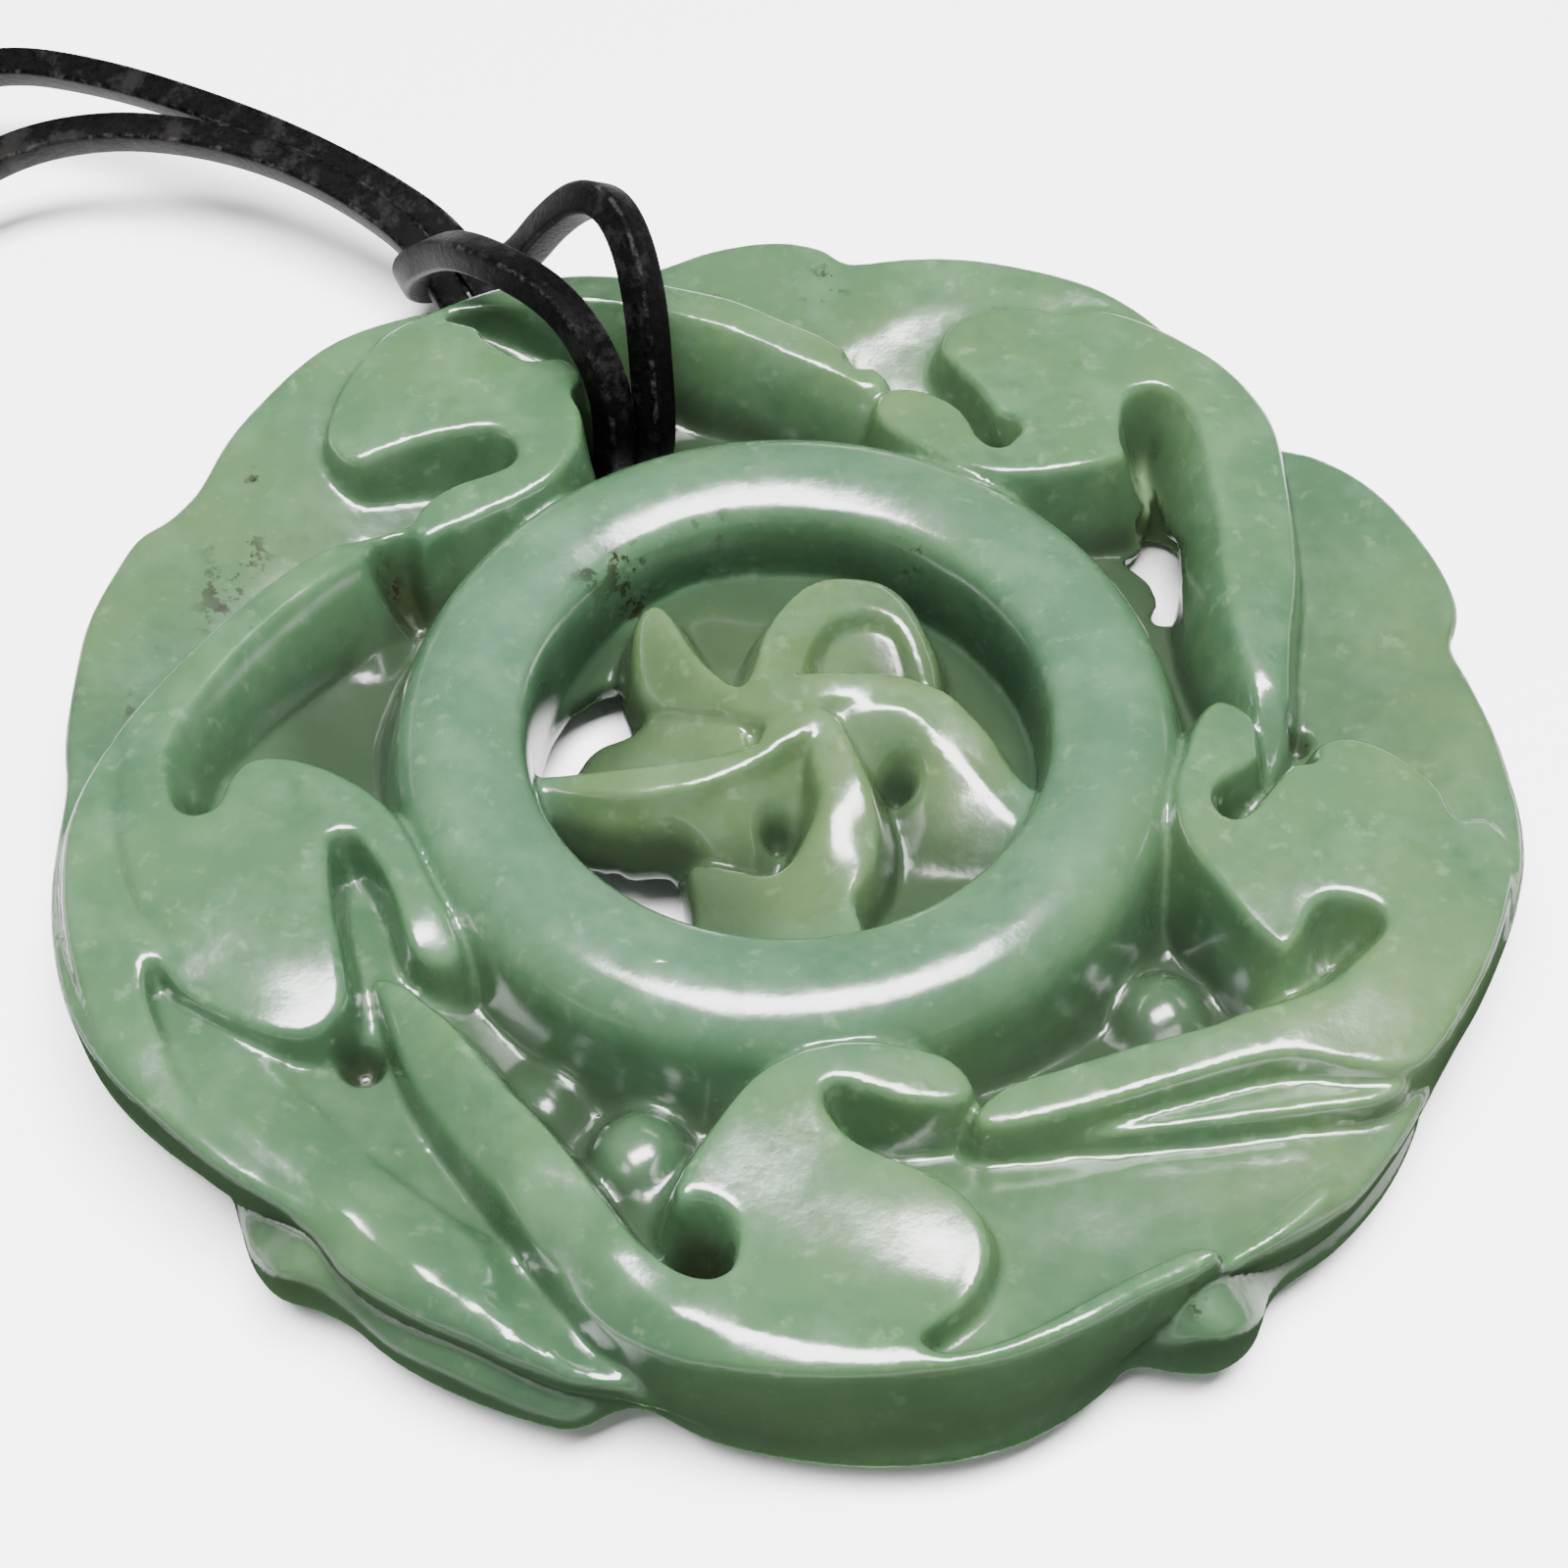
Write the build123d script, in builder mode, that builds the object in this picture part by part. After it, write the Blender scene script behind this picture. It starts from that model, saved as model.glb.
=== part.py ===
"""Carved jade disc pendant, pierced and carved on both faces, on a black leather lace.

The disc lies flat on the back of its raised ring: its axis is Z and the floor is z = 0.
"""
import os
from math import cos, hypot, pi, radians, sin, tan

from build123d import *

os.makedirs("parts", exist_ok=True)

# Disc, mm
disc_radius = 31.0        # axis to the scalloped rim
thickness = 9.0           # through the ring, back to front
edge_bulge = 0.4          # how far the rim swells between the two faces
edge_bevel = 0.5

# Raised ring round the middle
ring_radius = 16.2
hole_radius = 11.0
ring_foot = 1.2           # how far the ring's flank spreads down to the sunk ground
ring_drop = 0.8           # how far its rounded face falls away at both edges
ring_crest = 1.2          # width of the polished flat that the ring rests on

# Heights above the middle plane, front and back
front_relief = 4.1        # faces of the stems and heads
front_leaf = 2.5          # edge of the leaf behind each head
back_relief = 3.5
back_leaf = 2.9
ground_height = 1.2       # sunk ground beside the ring
ground_share = 0.30       # way from ring to rim where the leaves' dish starts to rise
leaf_share = 0.90         # and where it reaches the leaves' edge
relief_bevel = 0.4
relief_bevel_depth = 0.8

# Flower in the middle hole
flower_height = 4.2       # hub, above the middle plane
flower_drop = 2.4         # how far its arms sink on their way to the ring
crown_radius = 3.3        # where they begin to sink
arm_width = 3.4
hub_radius = 1.7
petal_height = 1.3        # the thinner petal behind each arm
petal_width = 4.2

# Lace and its closing knot
lace_diameter = 1.8
lace_clearance = 0.5
lace_crossing = (-13.0, 26.3)   # middle of the two strands' way under the rim
lace_crossing_angle = 124.0     # and its direction, degrees from +X
arc_share = 0.45                # share of a run that each of its two bends may take
knot_length = 7.0
knot_width = 4.8

middle = thickness / 2
band = disc_radius - ring_radius

# Outline of one scroll: degrees from its head's tip, share of the way from ring to rim
STEM_OUTER = [
    (-39, 0.36), (-32, 0.455), (-24, 0.545), (-16, 0.65), (-10, 0.755), (-5, 0.855), (0, 0.92),
]
RIM = [(7, 0.965), (15, 0.98), (22, 0.97), (27, 0.94), (27, 0.87), (24.5, 0.83)]
LOBE = [(27, 0.76), (28.8, 0.66), (28.4, 0.55), (25.5, 0.44), (20.5, 0.35), (15.5, 0.28)]
CURL = [
    (13.3, 0.215), (15, 0.155), (19, 0.16), (23.5, 0.215),
    (28, 0.265), (32, 0.25), (34, 0.18), (31.5, 0.10),
]
HEAD_INNER = [
    (25, 0.05), (17, 0.035), (9, 0.08), (4, 0.165), (0.8, 0.28), (-0.6, 0.40), (0.3, 0.48),
]
ARMPIT = [(3.5, 0.52), (5.8, 0.59), (5.2, 0.67), (2, 0.69), (-2.5, 0.63)]
STEM_INNER = [(-8, 0.53), (-15, 0.43), (-24, 0.335), (-33, 0.275), (-39, 0.255)]
SCROLL = [STEM_OUTER + RIM, LOBE + CURL, HEAD_INNER, ARMPIT + STEM_INNER]

# Opening pierced between a stem and its head, and the rounder one that the lace goes through
PIERCED = [
    (-22, 0.15), (-15, 0.115), (-8, 0.11), (-2.5, 0.16),
    (-3.2, 0.30), (-5.5, 0.42), (-9, 0.36), (-16, 0.25),
]
LACE_HOLE = [
    (-11, 0.17), (-7, 0.10), (0, 0.10), (3, 0.17),
    (2.6, 0.28), (1.4, 0.39), (-4, 0.48), (-10.5, 0.37),
]

# The five scrolls: the angle of each head's tip, how far its rim reaches, and its opening
SCROLLS = [
    (187.0, 1.03, PIERCED),
    (259.5, 0.99, PIERCED),
    (328.5, 1.00, PIERCED),
    (42.5, 0.985, PIERCED),
    (116.0, 1.03, LACE_HOLE),
]

# Edge of the disc from one scroll's corner to the next
CORNER = (-4, 0.94)
EDGE_RIM = [(4, 0.985), (14, 1.01), (26, 1.005), (37, 0.955)]
EDGE_LEAF = [(42, 0.995), (52, 1.0), (61, 0.985)]

# Arms of the flower from hub to ring: degrees, share of the hole's radius
ARMS = [
    [(150, 0.08), (153, 0.38), (142, 0.64), (128, 1.03)],
    [(95, 0.08), (82, 0.44), (66, 0.74), (38, 1.03)],
    [(30, 0.08), (17, 0.40), (3, 0.70), (-15, 1.03)],
    [(-48, 0.08), (-62, 0.35), (-74, 0.62), (-90, 1.03)],
    [(240, 0.08), (236, 0.34), (220, 0.60), (204, 1.03)],
]
ARM_WIDTHS = [0.55, 1.0, 1.1, 1.15]     # shares of arm_width along an arm
PETAL_LAGS = [16, 18, 22, 16, -14]      # degrees that each petal trails its arm

# Knot's outline: share of its length, share of its width
KNOT = [(0, 0.92), (0.5, 1.0), (1, 0.6)]

# The lace's route, its points chosen by eye
ROUTE = [
    # far strand, from the knot round the pendant
    (45.8, 24.0, 1.7),
    (45.8, 18.5, 1.7),
    (46.5, 12.0, 1.0),
    (46.8, 3.0, 0.9),
    (45.8, -9.0, 0.9),
    (43.0, -21.5, 0.9),
    (37.0, -32.6, 0.9),
    (27.5, -41.0, 0.9),
    (15.8, -45.8, 0.9),
    (3.0, -47.6, 0.9),
    (-10.0, -47.0, 0.9),
    (-23.0, -43.6, 0.9),
    (-34.5, -36.0, 0.9),
    (-42.0, -25.0, 0.9),
    (-46.0, -12.0, 0.9),
    (-49.0, 2.0, 0.9),
    (-51.8, 16.0, 0.9),
    (-53.6, 29.0, 1.1),
    (-53.0, 39.5, 2.6),
    (-48.8, 45.6, 4.8),
    # into the picture, down to the rim and under it
    (-42.9, 47.0, 5.8),
    (-37.1, 45.2, 6.2),
    (-31.4, 42.7, 6.2),
    (-25.9, 39.9, 6.0),
    (-20.8, 36.7, 5.5),
    (-17.2, 33.8, 4.9),
    (-14.7, 30.7, 2.3),
    (-12.5, 27.0, 1.0),
    (-9.4, 22.5, 0.95),
    (-7.4, 20.1, 1.8),
    (-6.5, 19.1, 3.9),
    (-6.3, 18.9, 6.6),
    # up through the hole and over in a kinked loop
    (-6.4, 19.8, 9.6),
    (-6.7, 21.4, 12.4),
    (-7.4, 23.6, 14.3),
    (-8.4, 25.6, 15.1),
    (-9.7, 27.1, 14.2),
    (-11.5, 28.9, 10.4),
    (-13.4, 31.0, 6.2),
    (-15.0, 33.2, 3.3),
    (-17.1, 34.4, 1.9),
    (-19.2, 33.6, 2.0),
    (-20.3, 31.8, 3.6),
    (-19.8, 30.5, 6.0),
    (-18.1, 28.9, 8.4),
    # back over the rim and down the hole
    (-15.9, 26.7, 10.5),
    (-13.4, 24.1, 11.7),
    (-11.0, 21.8, 12.0),
    (-9.3, 19.9, 11.1),
    (-8.3, 18.7, 8.8),
    (-8.2, 18.4, 6.2),
    (-8.4, 18.7, 3.8),
    (-9.2, 19.7, 1.7),
    (-11.2, 22.6, 0.95),
    (-14.6, 27.4, 1.0),
    (-16.8, 30.3, 2.3),
    (-18.8, 33.2, 4.7),
    # near strand, out of the picture and round beside the other
    (-22.0, 35.9, 5.4),
    (-26.2, 38.6, 5.8),
    (-31.2, 40.5, 6.0),
    (-36.6, 41.2, 5.9),
    (-41.8, 40.2, 5.2),
    (-46.4, 36.6, 3.8),
    (-49.2, 30.0, 1.8),
    (-49.6, 21.0, 0.9),
    (-48.2, 10.0, 0.9),
    (-45.4, -2.0, 0.9),
    (-42.0, -14.5, 0.9),
    (-37.0, -26.0, 0.9),
    (-29.0, -35.2, 0.9),
    (-18.5, -41.4, 0.9),
    (-7.0, -44.2, 0.9),
    (5.0, -44.4, 0.9),
    (16.6, -42.0, 0.9),
    (27.0, -36.8, 0.9),
    (35.4, -28.4, 0.9),
    (40.8, -17.6, 0.9),
    (43.2, -5.8, 0.9),
    (43.5, 4.0, 0.9),
    (43.4, 12.0, 1.0),
    (43.9, 18.5, 1.7),
    (43.9, 24.0, 1.7),
]


def on_disc(turn, share, reach=1.0):
    """A point on the disc, a share of the way from the ring to the rim."""
    stretch = 1 + (reach - 1) * max(0, share - 0.5) / 0.5
    return polar(turn, ring_radius + share * stretch * band)


def polar(turn, r):
    return (r * cos(radians(turn)), r * sin(radians(turn)))


def placed(table, turn, reach=1.0):
    """A scroll's outline points at its place on the disc."""
    return [on_disc(turn + step, share, reach) for step, share in table]


def inset(points, amount):
    """The points of a closed outline, counter-clockwise, moved inwards."""
    moved = []
    for i, (x, y) in enumerate(points):
        x0, y0 = points[i - 1]
        x1, y1 = points[(i + 1) % len(points)]
        length = hypot(x1 - x0, y1 - y0)
        moved.append((x - (y1 - y0) / length * amount, y + (x1 - x0) / length * amount))
    return moved


def outline(stretches, amount, level):
    """The face inside a closed outline of smooth stretches, moved inwards by an amount."""
    points = inset([point for stretch in stretches for point in stretch], amount)
    with BuildSketch(Plane.XY.offset(level)) as sketch:
        with BuildLine():
            start = 0
            for stretch in stretches:
                end = start + len(stretch)
                Spline(*points[start:end], points[end % len(points)])
                start = end
        make_face()
    return sketch.sketch


def bevelled(stretches, height, amount, depth):
    """A closed outline raised from the middle plane, its top edge bevelled."""
    foot = outline(stretches, 0, 0)
    shoulder = outline(stretches, 0, height - depth)
    top = outline(stretches, amount, height)
    with BuildPart() as solid:
        loft([foot, shoulder, top], ruled=True)
    return solid.part


def disc_edge(reach_share, level):
    """The scalloped edge at a level, a share of its named reach."""
    corners = [on_disc(turn + CORNER[0], CORNER[1], reach) for turn, reach, _ in SCROLLS]
    with BuildSketch(Plane.XY.offset(level)) as sketch:
        with BuildLine():
            for i, (turn, reach, _) in enumerate(SCROLLS):
                next_corner = corners[(i + 1) % len(corners)]
                rim = [corners[i]] + placed(EDGE_RIM, turn, reach)
                leaf = [rim[-1]] + placed(EDGE_LEAF, turn, reach) + [next_corner]
                for line in (rim, leaf):
                    Spline(*[(x * reach_share, y * reach_share) for x, y in line])
        make_face()
    return sketch.sketch


def half(relief, leaf):
    """One face of the stone, raised from the middle plane at z = 0."""
    bulged = 1 + edge_bulge / disc_radius
    bevelled_in = 1 - edge_bevel / disc_radius
    dish_foot = ring_radius + ground_share * band
    dish_rim = ring_radius + leaf_share * band
    crest_inner = (hole_radius + ring_radius - ring_crest) / 2
    crest_outer = crest_inner + ring_crest
    with BuildPart() as face:
        # plate with its scalloped edge
        widest = disc_edge(bulged, 0)
        shoulder = disc_edge(1, leaf - edge_bevel)
        top = disc_edge(bevelled_in, leaf)
        loft([widest, shoulder, top], ruled=True)
        # leaves dished down to the sunk ground
        with BuildSketch(Plane.XZ):
            with BuildLine():
                Polyline(
                    (0, ground_height),
                    (dish_foot, ground_height),
                    (dish_rim, leaf),
                    (dish_rim, thickness),
                    (0, thickness),
                    close=True,
                )
            make_face()
        revolve(axis=Axis.Z, mode=Mode.SUBTRACT)
        # stems, heads and curls
        for turn, reach, _ in SCROLLS:
            stretches = [placed(table, turn, reach) for table in SCROLL]
            add(bevelled(stretches, relief, relief_bevel, relief_bevel_depth))
        # ring, rounded to both sides of its crest
        with BuildSketch(Plane.XZ):
            with BuildLine():
                Line((hole_radius, 0), (hole_radius, middle - ring_drop))
                TangentArc((crest_inner, middle), (hole_radius, middle - ring_drop), tangent=(-1, 0))
                Line((crest_inner, middle), (crest_outer, middle))
                TangentArc((crest_outer, middle), (ring_radius, middle - ring_drop), tangent=(1, 0))
                Line((ring_radius, middle - ring_drop), (ring_radius + ring_foot, ground_height))
                Line((ring_radius + ring_foot, ground_height), (ring_radius + ring_foot, 0))
                Line((ring_radius + ring_foot, 0), (hole_radius, 0))
            make_face()
        revolve(axis=Axis.Z)
        # middle hole and the pierced openings
        with BuildSketch(Plane.XY):
            Circle(hole_radius)
            for turn, _, opening in SCROLLS:
                with BuildLine():
                    Spline(*placed(opening, turn), periodic=True)
                make_face()
        extrude(amount=thickness, mode=Mode.SUBTRACT)
    return face.part


def ribbon(centre, widths, lag=0.0):
    """The closed outline of an arm, from its centre line and its width at each point."""
    spine = [polar(turn - lag, share * hole_radius) for turn, share in centre]
    left, right = [], []
    for i, (x, y) in enumerate(spine):
        x0, y0 = spine[max(i - 1, 0)]
        x1, y1 = spine[min(i + 1, len(spine) - 1)]
        length = hypot(x1 - x0, y1 - y0)
        side_x, side_y = -(y1 - y0) / length, (x1 - x0) / length
        left.append((x + side_x * widths[i] / 2, y + side_y * widths[i] / 2))
        right.append((x - side_x * widths[i] / 2, y - side_y * widths[i] / 2))
    return [right, left[::-1]]


def flower_half(height, drop):
    """The pinwheel flower from the middle plane up, its arms sinking towards the ring."""
    arm_widths = [share * arm_width for share in ARM_WIDTHS]
    petal_widths = [share * petal_width for share in ARM_WIDTHS]
    with BuildPart() as flower:
        Cylinder(hub_radius, height, align=(Align.CENTER, Align.CENTER, Align.MIN))
        for arm, petal_lag in zip(ARMS, PETAL_LAGS):
            upper = (arm_widths, 0, height)
            lower = (petal_widths, petal_lag, petal_height)
            for widths, lag, level in (upper, lower):
                right, left = ribbon(arm, widths, lag)
                with BuildSketch(Plane.XY):
                    with BuildLine():
                        Spline(*right)
                        Line(right[-1], left[0])
                        Spline(*left)
                        Line(left[-1], right[0])
                    make_face()
                extrude(amount=level)
        # crown of the arms, and the wall that they die into
        with BuildSketch(Plane.XZ):
            with BuildLine():
                Polyline(
                    (0, 0),
                    (0, height),
                    (crown_radius, height),
                    (hole_radius + ring_foot, height - drop),
                    (hole_radius + ring_foot, 0),
                    close=True,
                )
            make_face()
        revolve(axis=Axis.Z, mode=Mode.INTERSECT)
    return flower.part


# The stone: two carved faces joined at the middle plane, and the flower inside the ring
front = half(front_relief, front_leaf)
back = half(back_relief, back_leaf)
flower = flower_half(flower_height, flower_drop)
raised = Location((0, 0, middle))
channel_width = 2 * lace_diameter + 3 * lace_clearance
channel_depth = lace_diameter + lace_clearance
with BuildPart() as jade_disc:
    for side in (front, back.mirror(Plane.XY), flower, flower.mirror(Plane.XY)):
        add(side.moved(raised))
    # the two strands pass under the rim in a shallow channel in its back
    with Locations(Location((*lace_crossing, 0), (0, 0, lace_crossing_angle))):
        Box(band, channel_width, 2 * channel_depth, mode=Mode.SUBTRACT)
jade_disc.part.label = "jade_disc"
export_step(jade_disc.part, "parts/jade_disc.step")
print("jade volume", round(jade_disc.part.volume, 1), "faces", len(jade_disc.faces()))

# Knot that closes the lace, its flat end towards the two strands
knot_x = (ROUTE[0][0] + ROUTE[-1][0]) / 2
knot_y = ROUTE[0][1]
with BuildPart() as end_knot:
    for along, share in KNOT:
        centre = (knot_x, knot_y + along * knot_length, knot_width / 2)
        with BuildSketch(Plane(centre, z_dir=(0, 1, 0))):
            Circle(share * knot_width / 2)
    loft(ruled=True)
end_knot.part.label = "end_knot"
export_step(end_knot.part, "parts/end_knot.step")

# Lace: straight runs joined by the largest arcs that they leave room for
points = [Vector(*point) for point in ROUTE]
radii = []
for before, here, after in zip(points, points[1:], points[2:]):
    turn = radians((here - before).get_angle(after - here))
    shorter = min((here - before).length, (after - here).length)
    radii.append(arc_share * shorter / tan(turn / 2))
with BuildPart() as neck_cord:
    with BuildLine() as route:
        FilletPolyline(*points, radius=radii)
    with BuildSketch(Plane(origin=points[0], z_dir=points[1] - points[0])):
        Circle(lace_diameter / 2)
    sweep()
neck_cord.part.label = "neck_cord"
export_step(neck_cord.part, "parts/neck_cord.step")

lace_length = route.wire().length
expected_volume = pi * lace_diameter**2 / 4 * lace_length
print("lace radii", [round(radius, 1) for radius in radii])
print("lace length", round(lace_length, 1))
print("lace volume", round(neck_cord.part.volume, 1), "of", round(expected_volume, 1))
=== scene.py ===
"""Carved jade disc pendant on a black leather lace, lying on a pale table."""
from math import cos, pi, radians, sin

import bpy
import numpy as np
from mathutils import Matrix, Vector


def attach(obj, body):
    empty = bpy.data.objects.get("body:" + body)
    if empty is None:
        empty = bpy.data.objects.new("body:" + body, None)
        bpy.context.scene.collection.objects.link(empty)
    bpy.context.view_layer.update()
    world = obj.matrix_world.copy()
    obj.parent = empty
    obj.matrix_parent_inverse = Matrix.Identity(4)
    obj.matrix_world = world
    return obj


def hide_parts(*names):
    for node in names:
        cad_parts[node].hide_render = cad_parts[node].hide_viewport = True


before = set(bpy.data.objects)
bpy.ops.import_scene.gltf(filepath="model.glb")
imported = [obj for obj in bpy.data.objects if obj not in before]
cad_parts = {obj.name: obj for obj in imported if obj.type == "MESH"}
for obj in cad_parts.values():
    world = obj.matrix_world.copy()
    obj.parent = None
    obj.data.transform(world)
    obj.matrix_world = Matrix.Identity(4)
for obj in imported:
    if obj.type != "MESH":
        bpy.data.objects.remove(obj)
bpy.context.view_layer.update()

MM = 0.001


def linked(name, data):
    """A new object that shows some data, in the scene."""
    thing = bpy.data.objects.new(name, data)
    bpy.context.scene.collection.objects.link(thing)
    return thing


# Camera
CAMERA_ELEVATION = radians(53.5)
CAMERA_DISTANCE = 0.11122
CAMERA_TARGET = Vector((-0.00014, -0.00146, 0.005))
CAMERA_LENS, CAMERA_SENSOR = 58.64, 36    # mm
CAMERA_NEAREST = 0.01

camera = linked("camera", bpy.data.cameras.new("camera"))
camera.data.sensor_width = CAMERA_SENSOR
camera.data.lens = CAMERA_LENS
camera.data.clip_start = CAMERA_NEAREST
camera.location = CAMERA_TARGET + CAMERA_DISTANCE * Vector(
    (0, -cos(CAMERA_ELEVATION), sin(CAMERA_ELEVATION))
)
camera.rotation_euler = (pi / 2 - CAMERA_ELEVATION, 0, 0)
bpy.context.scene.camera = camera


# Lace
LACE_SIDE, LACE_CORNER = 1.62, 0.28  # mm, its square section and that one's rounding

# The lace's route in mm, the same points as in the part
ROUTE = [
    # far strand, from the knot round the pendant
    (45.8, 24.0, 1.7), (45.8, 18.5, 1.7), (46.5, 12.0, 1.0), (46.8, 3.0, 0.9), (45.8, -9.0, 0.9),
    (43.0, -21.5, 0.9), (39.0, -35.0, 0.9), (29.4, -44.0, 0.9), (16.4, -46.8, 0.9), (3.0, -47.6, 0.9),
    (-10.6, -47.5, 0.9), (-25.2, -45.8, 0.9), (-36.8, -38.4, 0.9), (-43.4, -26.4, 0.9),
    (-46.0, -12.0, 0.9), (-49.0, 2.0, 0.9), (-51.8, 16.0, 0.9), (-53.6, 29.0, 1.1), (-53.0, 39.5, 2.6),
    (-48.8, 45.6, 4.8),
    # into the picture, down to the rim and under it
    (-42.9, 47.0, 5.8), (-37.1, 45.2, 6.2), (-31.4, 42.7, 6.2), (-25.9, 39.9, 6.0), (-20.8, 36.7, 5.5),
    (-17.2, 33.8, 4.9), (-14.7, 30.7, 2.3), (-12.5, 27.0, 1.0), (-9.4, 22.5, 0.95), (-7.4, 20.1, 1.8),
    (-6.5, 19.1, 3.9), (-6.3, 18.9, 6.6),
    # up through the hole and over in a kinked loop
    (-6.4, 19.8, 9.4), (-6.6, 21.3, 12.0), (-7.2, 23.4, 13.8), (-8.2, 25.3, 14.5), (-9.6, 26.9, 13.6),
    (-11.5, 28.9, 10.4), (-13.4, 31.0, 6.2), (-15.0, 33.2, 3.3), (-17.1, 34.4, 1.9), (-18.6, 33.4, 2.0),
    (-19.4, 31.9, 3.6), (-19.0, 30.5, 6.0), (-17.6, 28.9, 8.2),
    # back over the rim and down the hole
    (-15.9, 26.7, 10.5), (-13.4, 24.1, 11.7), (-11.0, 21.8, 12.0), (-9.3, 19.9, 11.1), (-8.3, 18.7, 8.8),
    (-8.2, 18.4, 6.2), (-8.4, 18.7, 3.8), (-9.2, 19.7, 1.7), (-11.2, 22.6, 0.95), (-14.6, 27.4, 1.0),
    (-16.8, 30.3, 2.3), (-18.8, 33.2, 4.7),
    # near strand, out of the picture and round beside the other
    (-22.0, 35.9, 5.4), (-26.2, 38.6, 5.8), (-31.2, 40.5, 6.0), (-36.6, 41.2, 5.9), (-41.8, 40.2, 5.2),
    (-46.4, 36.6, 3.8), (-49.2, 30.0, 1.8), (-49.6, 21.0, 0.9), (-48.2, 10.0, 0.9), (-45.4, -2.0, 0.9),
    (-42.0, -14.5, 0.9), (-39.6, -27.2, 0.9), (-32.2, -38.6, 0.9), (-20.6, -44.1, 0.9), (-7.2, -45.1, 0.9),
    (5.2, -45.2, 0.9), (18.6, -44.2, 0.9), (30.0, -39.6, 0.9), (37.6, -30.6, 0.9), (41.4, -18.8, 0.9),
    (43.2, -5.8, 0.9), (43.5, 4.0, 0.9), (43.4, 12.0, 1.0), (43.9, 18.5, 1.7), (43.9, 24.0, 1.7),
]

# Closing knot in mm: the lace wound round both ends of itself
KNOT_START = (44.85, 25.05, 2.5)
KNOT_TURNS, KNOT_PITCH, KNOT_RADIUS = 3.2, 1.72, 1.5
KNOT_STEPS = 90
KNOT_SIDE, KNOT_CORNER = 1.55, 0.35
CORE_ROUTE = [(44.85, 24.1, 2.4), (44.85, 26, 2.4), (44.85, 28, 2.4), (44.95, 30.8, 2.3)]
CORE_SIDE, CORE_CORNER = 1.9, 0.6


def mesh_object(name, points, faces):
    """A smooth mesh piece from points in metres and faces."""
    mesh = bpy.data.meshes.new(name)
    mesh.from_pydata(list(map(tuple, points)), [], list(map(tuple, faces)))
    mesh.polygons.foreach_set("use_smooth", [True] * len(mesh.polygons))
    mesh.update()
    return linked(name, mesh)


def nurbs_line(name, points):
    """The points along one smooth open spline through given control points."""
    curve = bpy.data.curves.new(name, "CURVE")
    curve.dimensions = "3D"
    curve.resolution_u = 10
    spline = curve.splines.new("NURBS")
    spline.points.add(len(points) - 1)
    for point, place in zip(spline.points, points):
        point.co = (*place, 1)
    spline.order_u = 3
    spline.use_endpoint_u = True
    guide = bpy.data.objects.new(name, curve)
    line = bpy.data.meshes.new_from_object(guide)
    path = [tuple(vertex.co) for vertex in line.vertices]
    bpy.data.objects.remove(guide)
    bpy.data.curves.remove(curve)
    bpy.data.meshes.remove(line)
    return np.array(path)


def square_section(side, corner, steps=4):
    """A square with rounded corners, in metres, and how near each point is to a corner."""
    reach = side / 2 - corner
    points, edge = [], []
    for quarter in range(4):
        middle = pi / 4 + quarter * pi / 2
        for share in np.arange(steps) / (steps - 1):
            angle = (quarter + share) * pi / 2
            x = reach * np.sign(cos(middle)) + corner * cos(angle)
            y = reach * np.sign(sin(middle)) + corner * sin(angle)
            points.append((x, y))
            edge.append(1.0 - abs(share - 0.5))
    return np.array(points) * MM, np.array(edge)


def swept(name, path, section):
    """A closed tube of one section along a path, turned as little as possible on its way."""
    ahead = np.gradient(path, axis=0)
    ahead /= np.linalg.norm(ahead, axis=1)[:, None]
    side = np.cross(ahead[0], (0, 0, 1.0))
    side /= np.linalg.norm(side)
    rings = []
    for centre, forward in zip(path, ahead):
        side = side - forward * side.dot(forward)
        side /= np.linalg.norm(side)
        up = np.cross(side, forward)
        rings.append(centre + np.outer(section[:, 0], side) + np.outer(section[:, 1], up))
    n, count = len(section), len(path)
    faces = []
    for i in range(count - 1):
        for j in range(n):
            k = (j + 1) % n
            faces.append((i * n + j, i * n + k, (i + 1) * n + k, (i + 1) * n + j))
    faces.append(tuple(range(n)))
    faces.append(tuple(range((count - 1) * n, count * n))[::-1])
    return mesh_object(name, np.concatenate(rings), faces)


def knot_line():
    """The coil of the closing knot, in mm."""
    x, y, z = KNOT_START
    turned = np.linspace(0, KNOT_TURNS, KNOT_STEPS)
    round_x = x + KNOT_RADIUS * np.cos(2 * pi * turned)
    round_z = z + KNOT_RADIUS * np.sin(2 * pi * turned)
    return np.stack([round_x, y + turned * KNOT_PITCH, round_z], axis=1)


route_line = nurbs_line("lace_route", np.array(ROUTE) * MM)
lace_section, lace_edge = square_section(LACE_SIDE, LACE_CORNER)
lace = swept("leather_lace", route_line, lace_section)
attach(lace, "root")
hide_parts("neck_cord")

knot = swept("lace_knot", knot_line() * MM, square_section(KNOT_SIDE, KNOT_CORNER)[0])
core = swept("lace_knot_core", np.array(CORE_ROUTE) * MM, square_section(CORE_SIDE, CORE_CORNER)[0])
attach(knot, "root")
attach(core, "root")
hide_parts("end_knot")


# The stone's carving
# Angles in degrees from +X, radii and heights in mm. Each raised form is an outline
# (angle, radius) and a few heights (angle, radius, height) that its face passes through.
STEP = 0.2                # between the grid's points
TOP_OF_WORK = 9.0         # the stone's thickness

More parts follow.
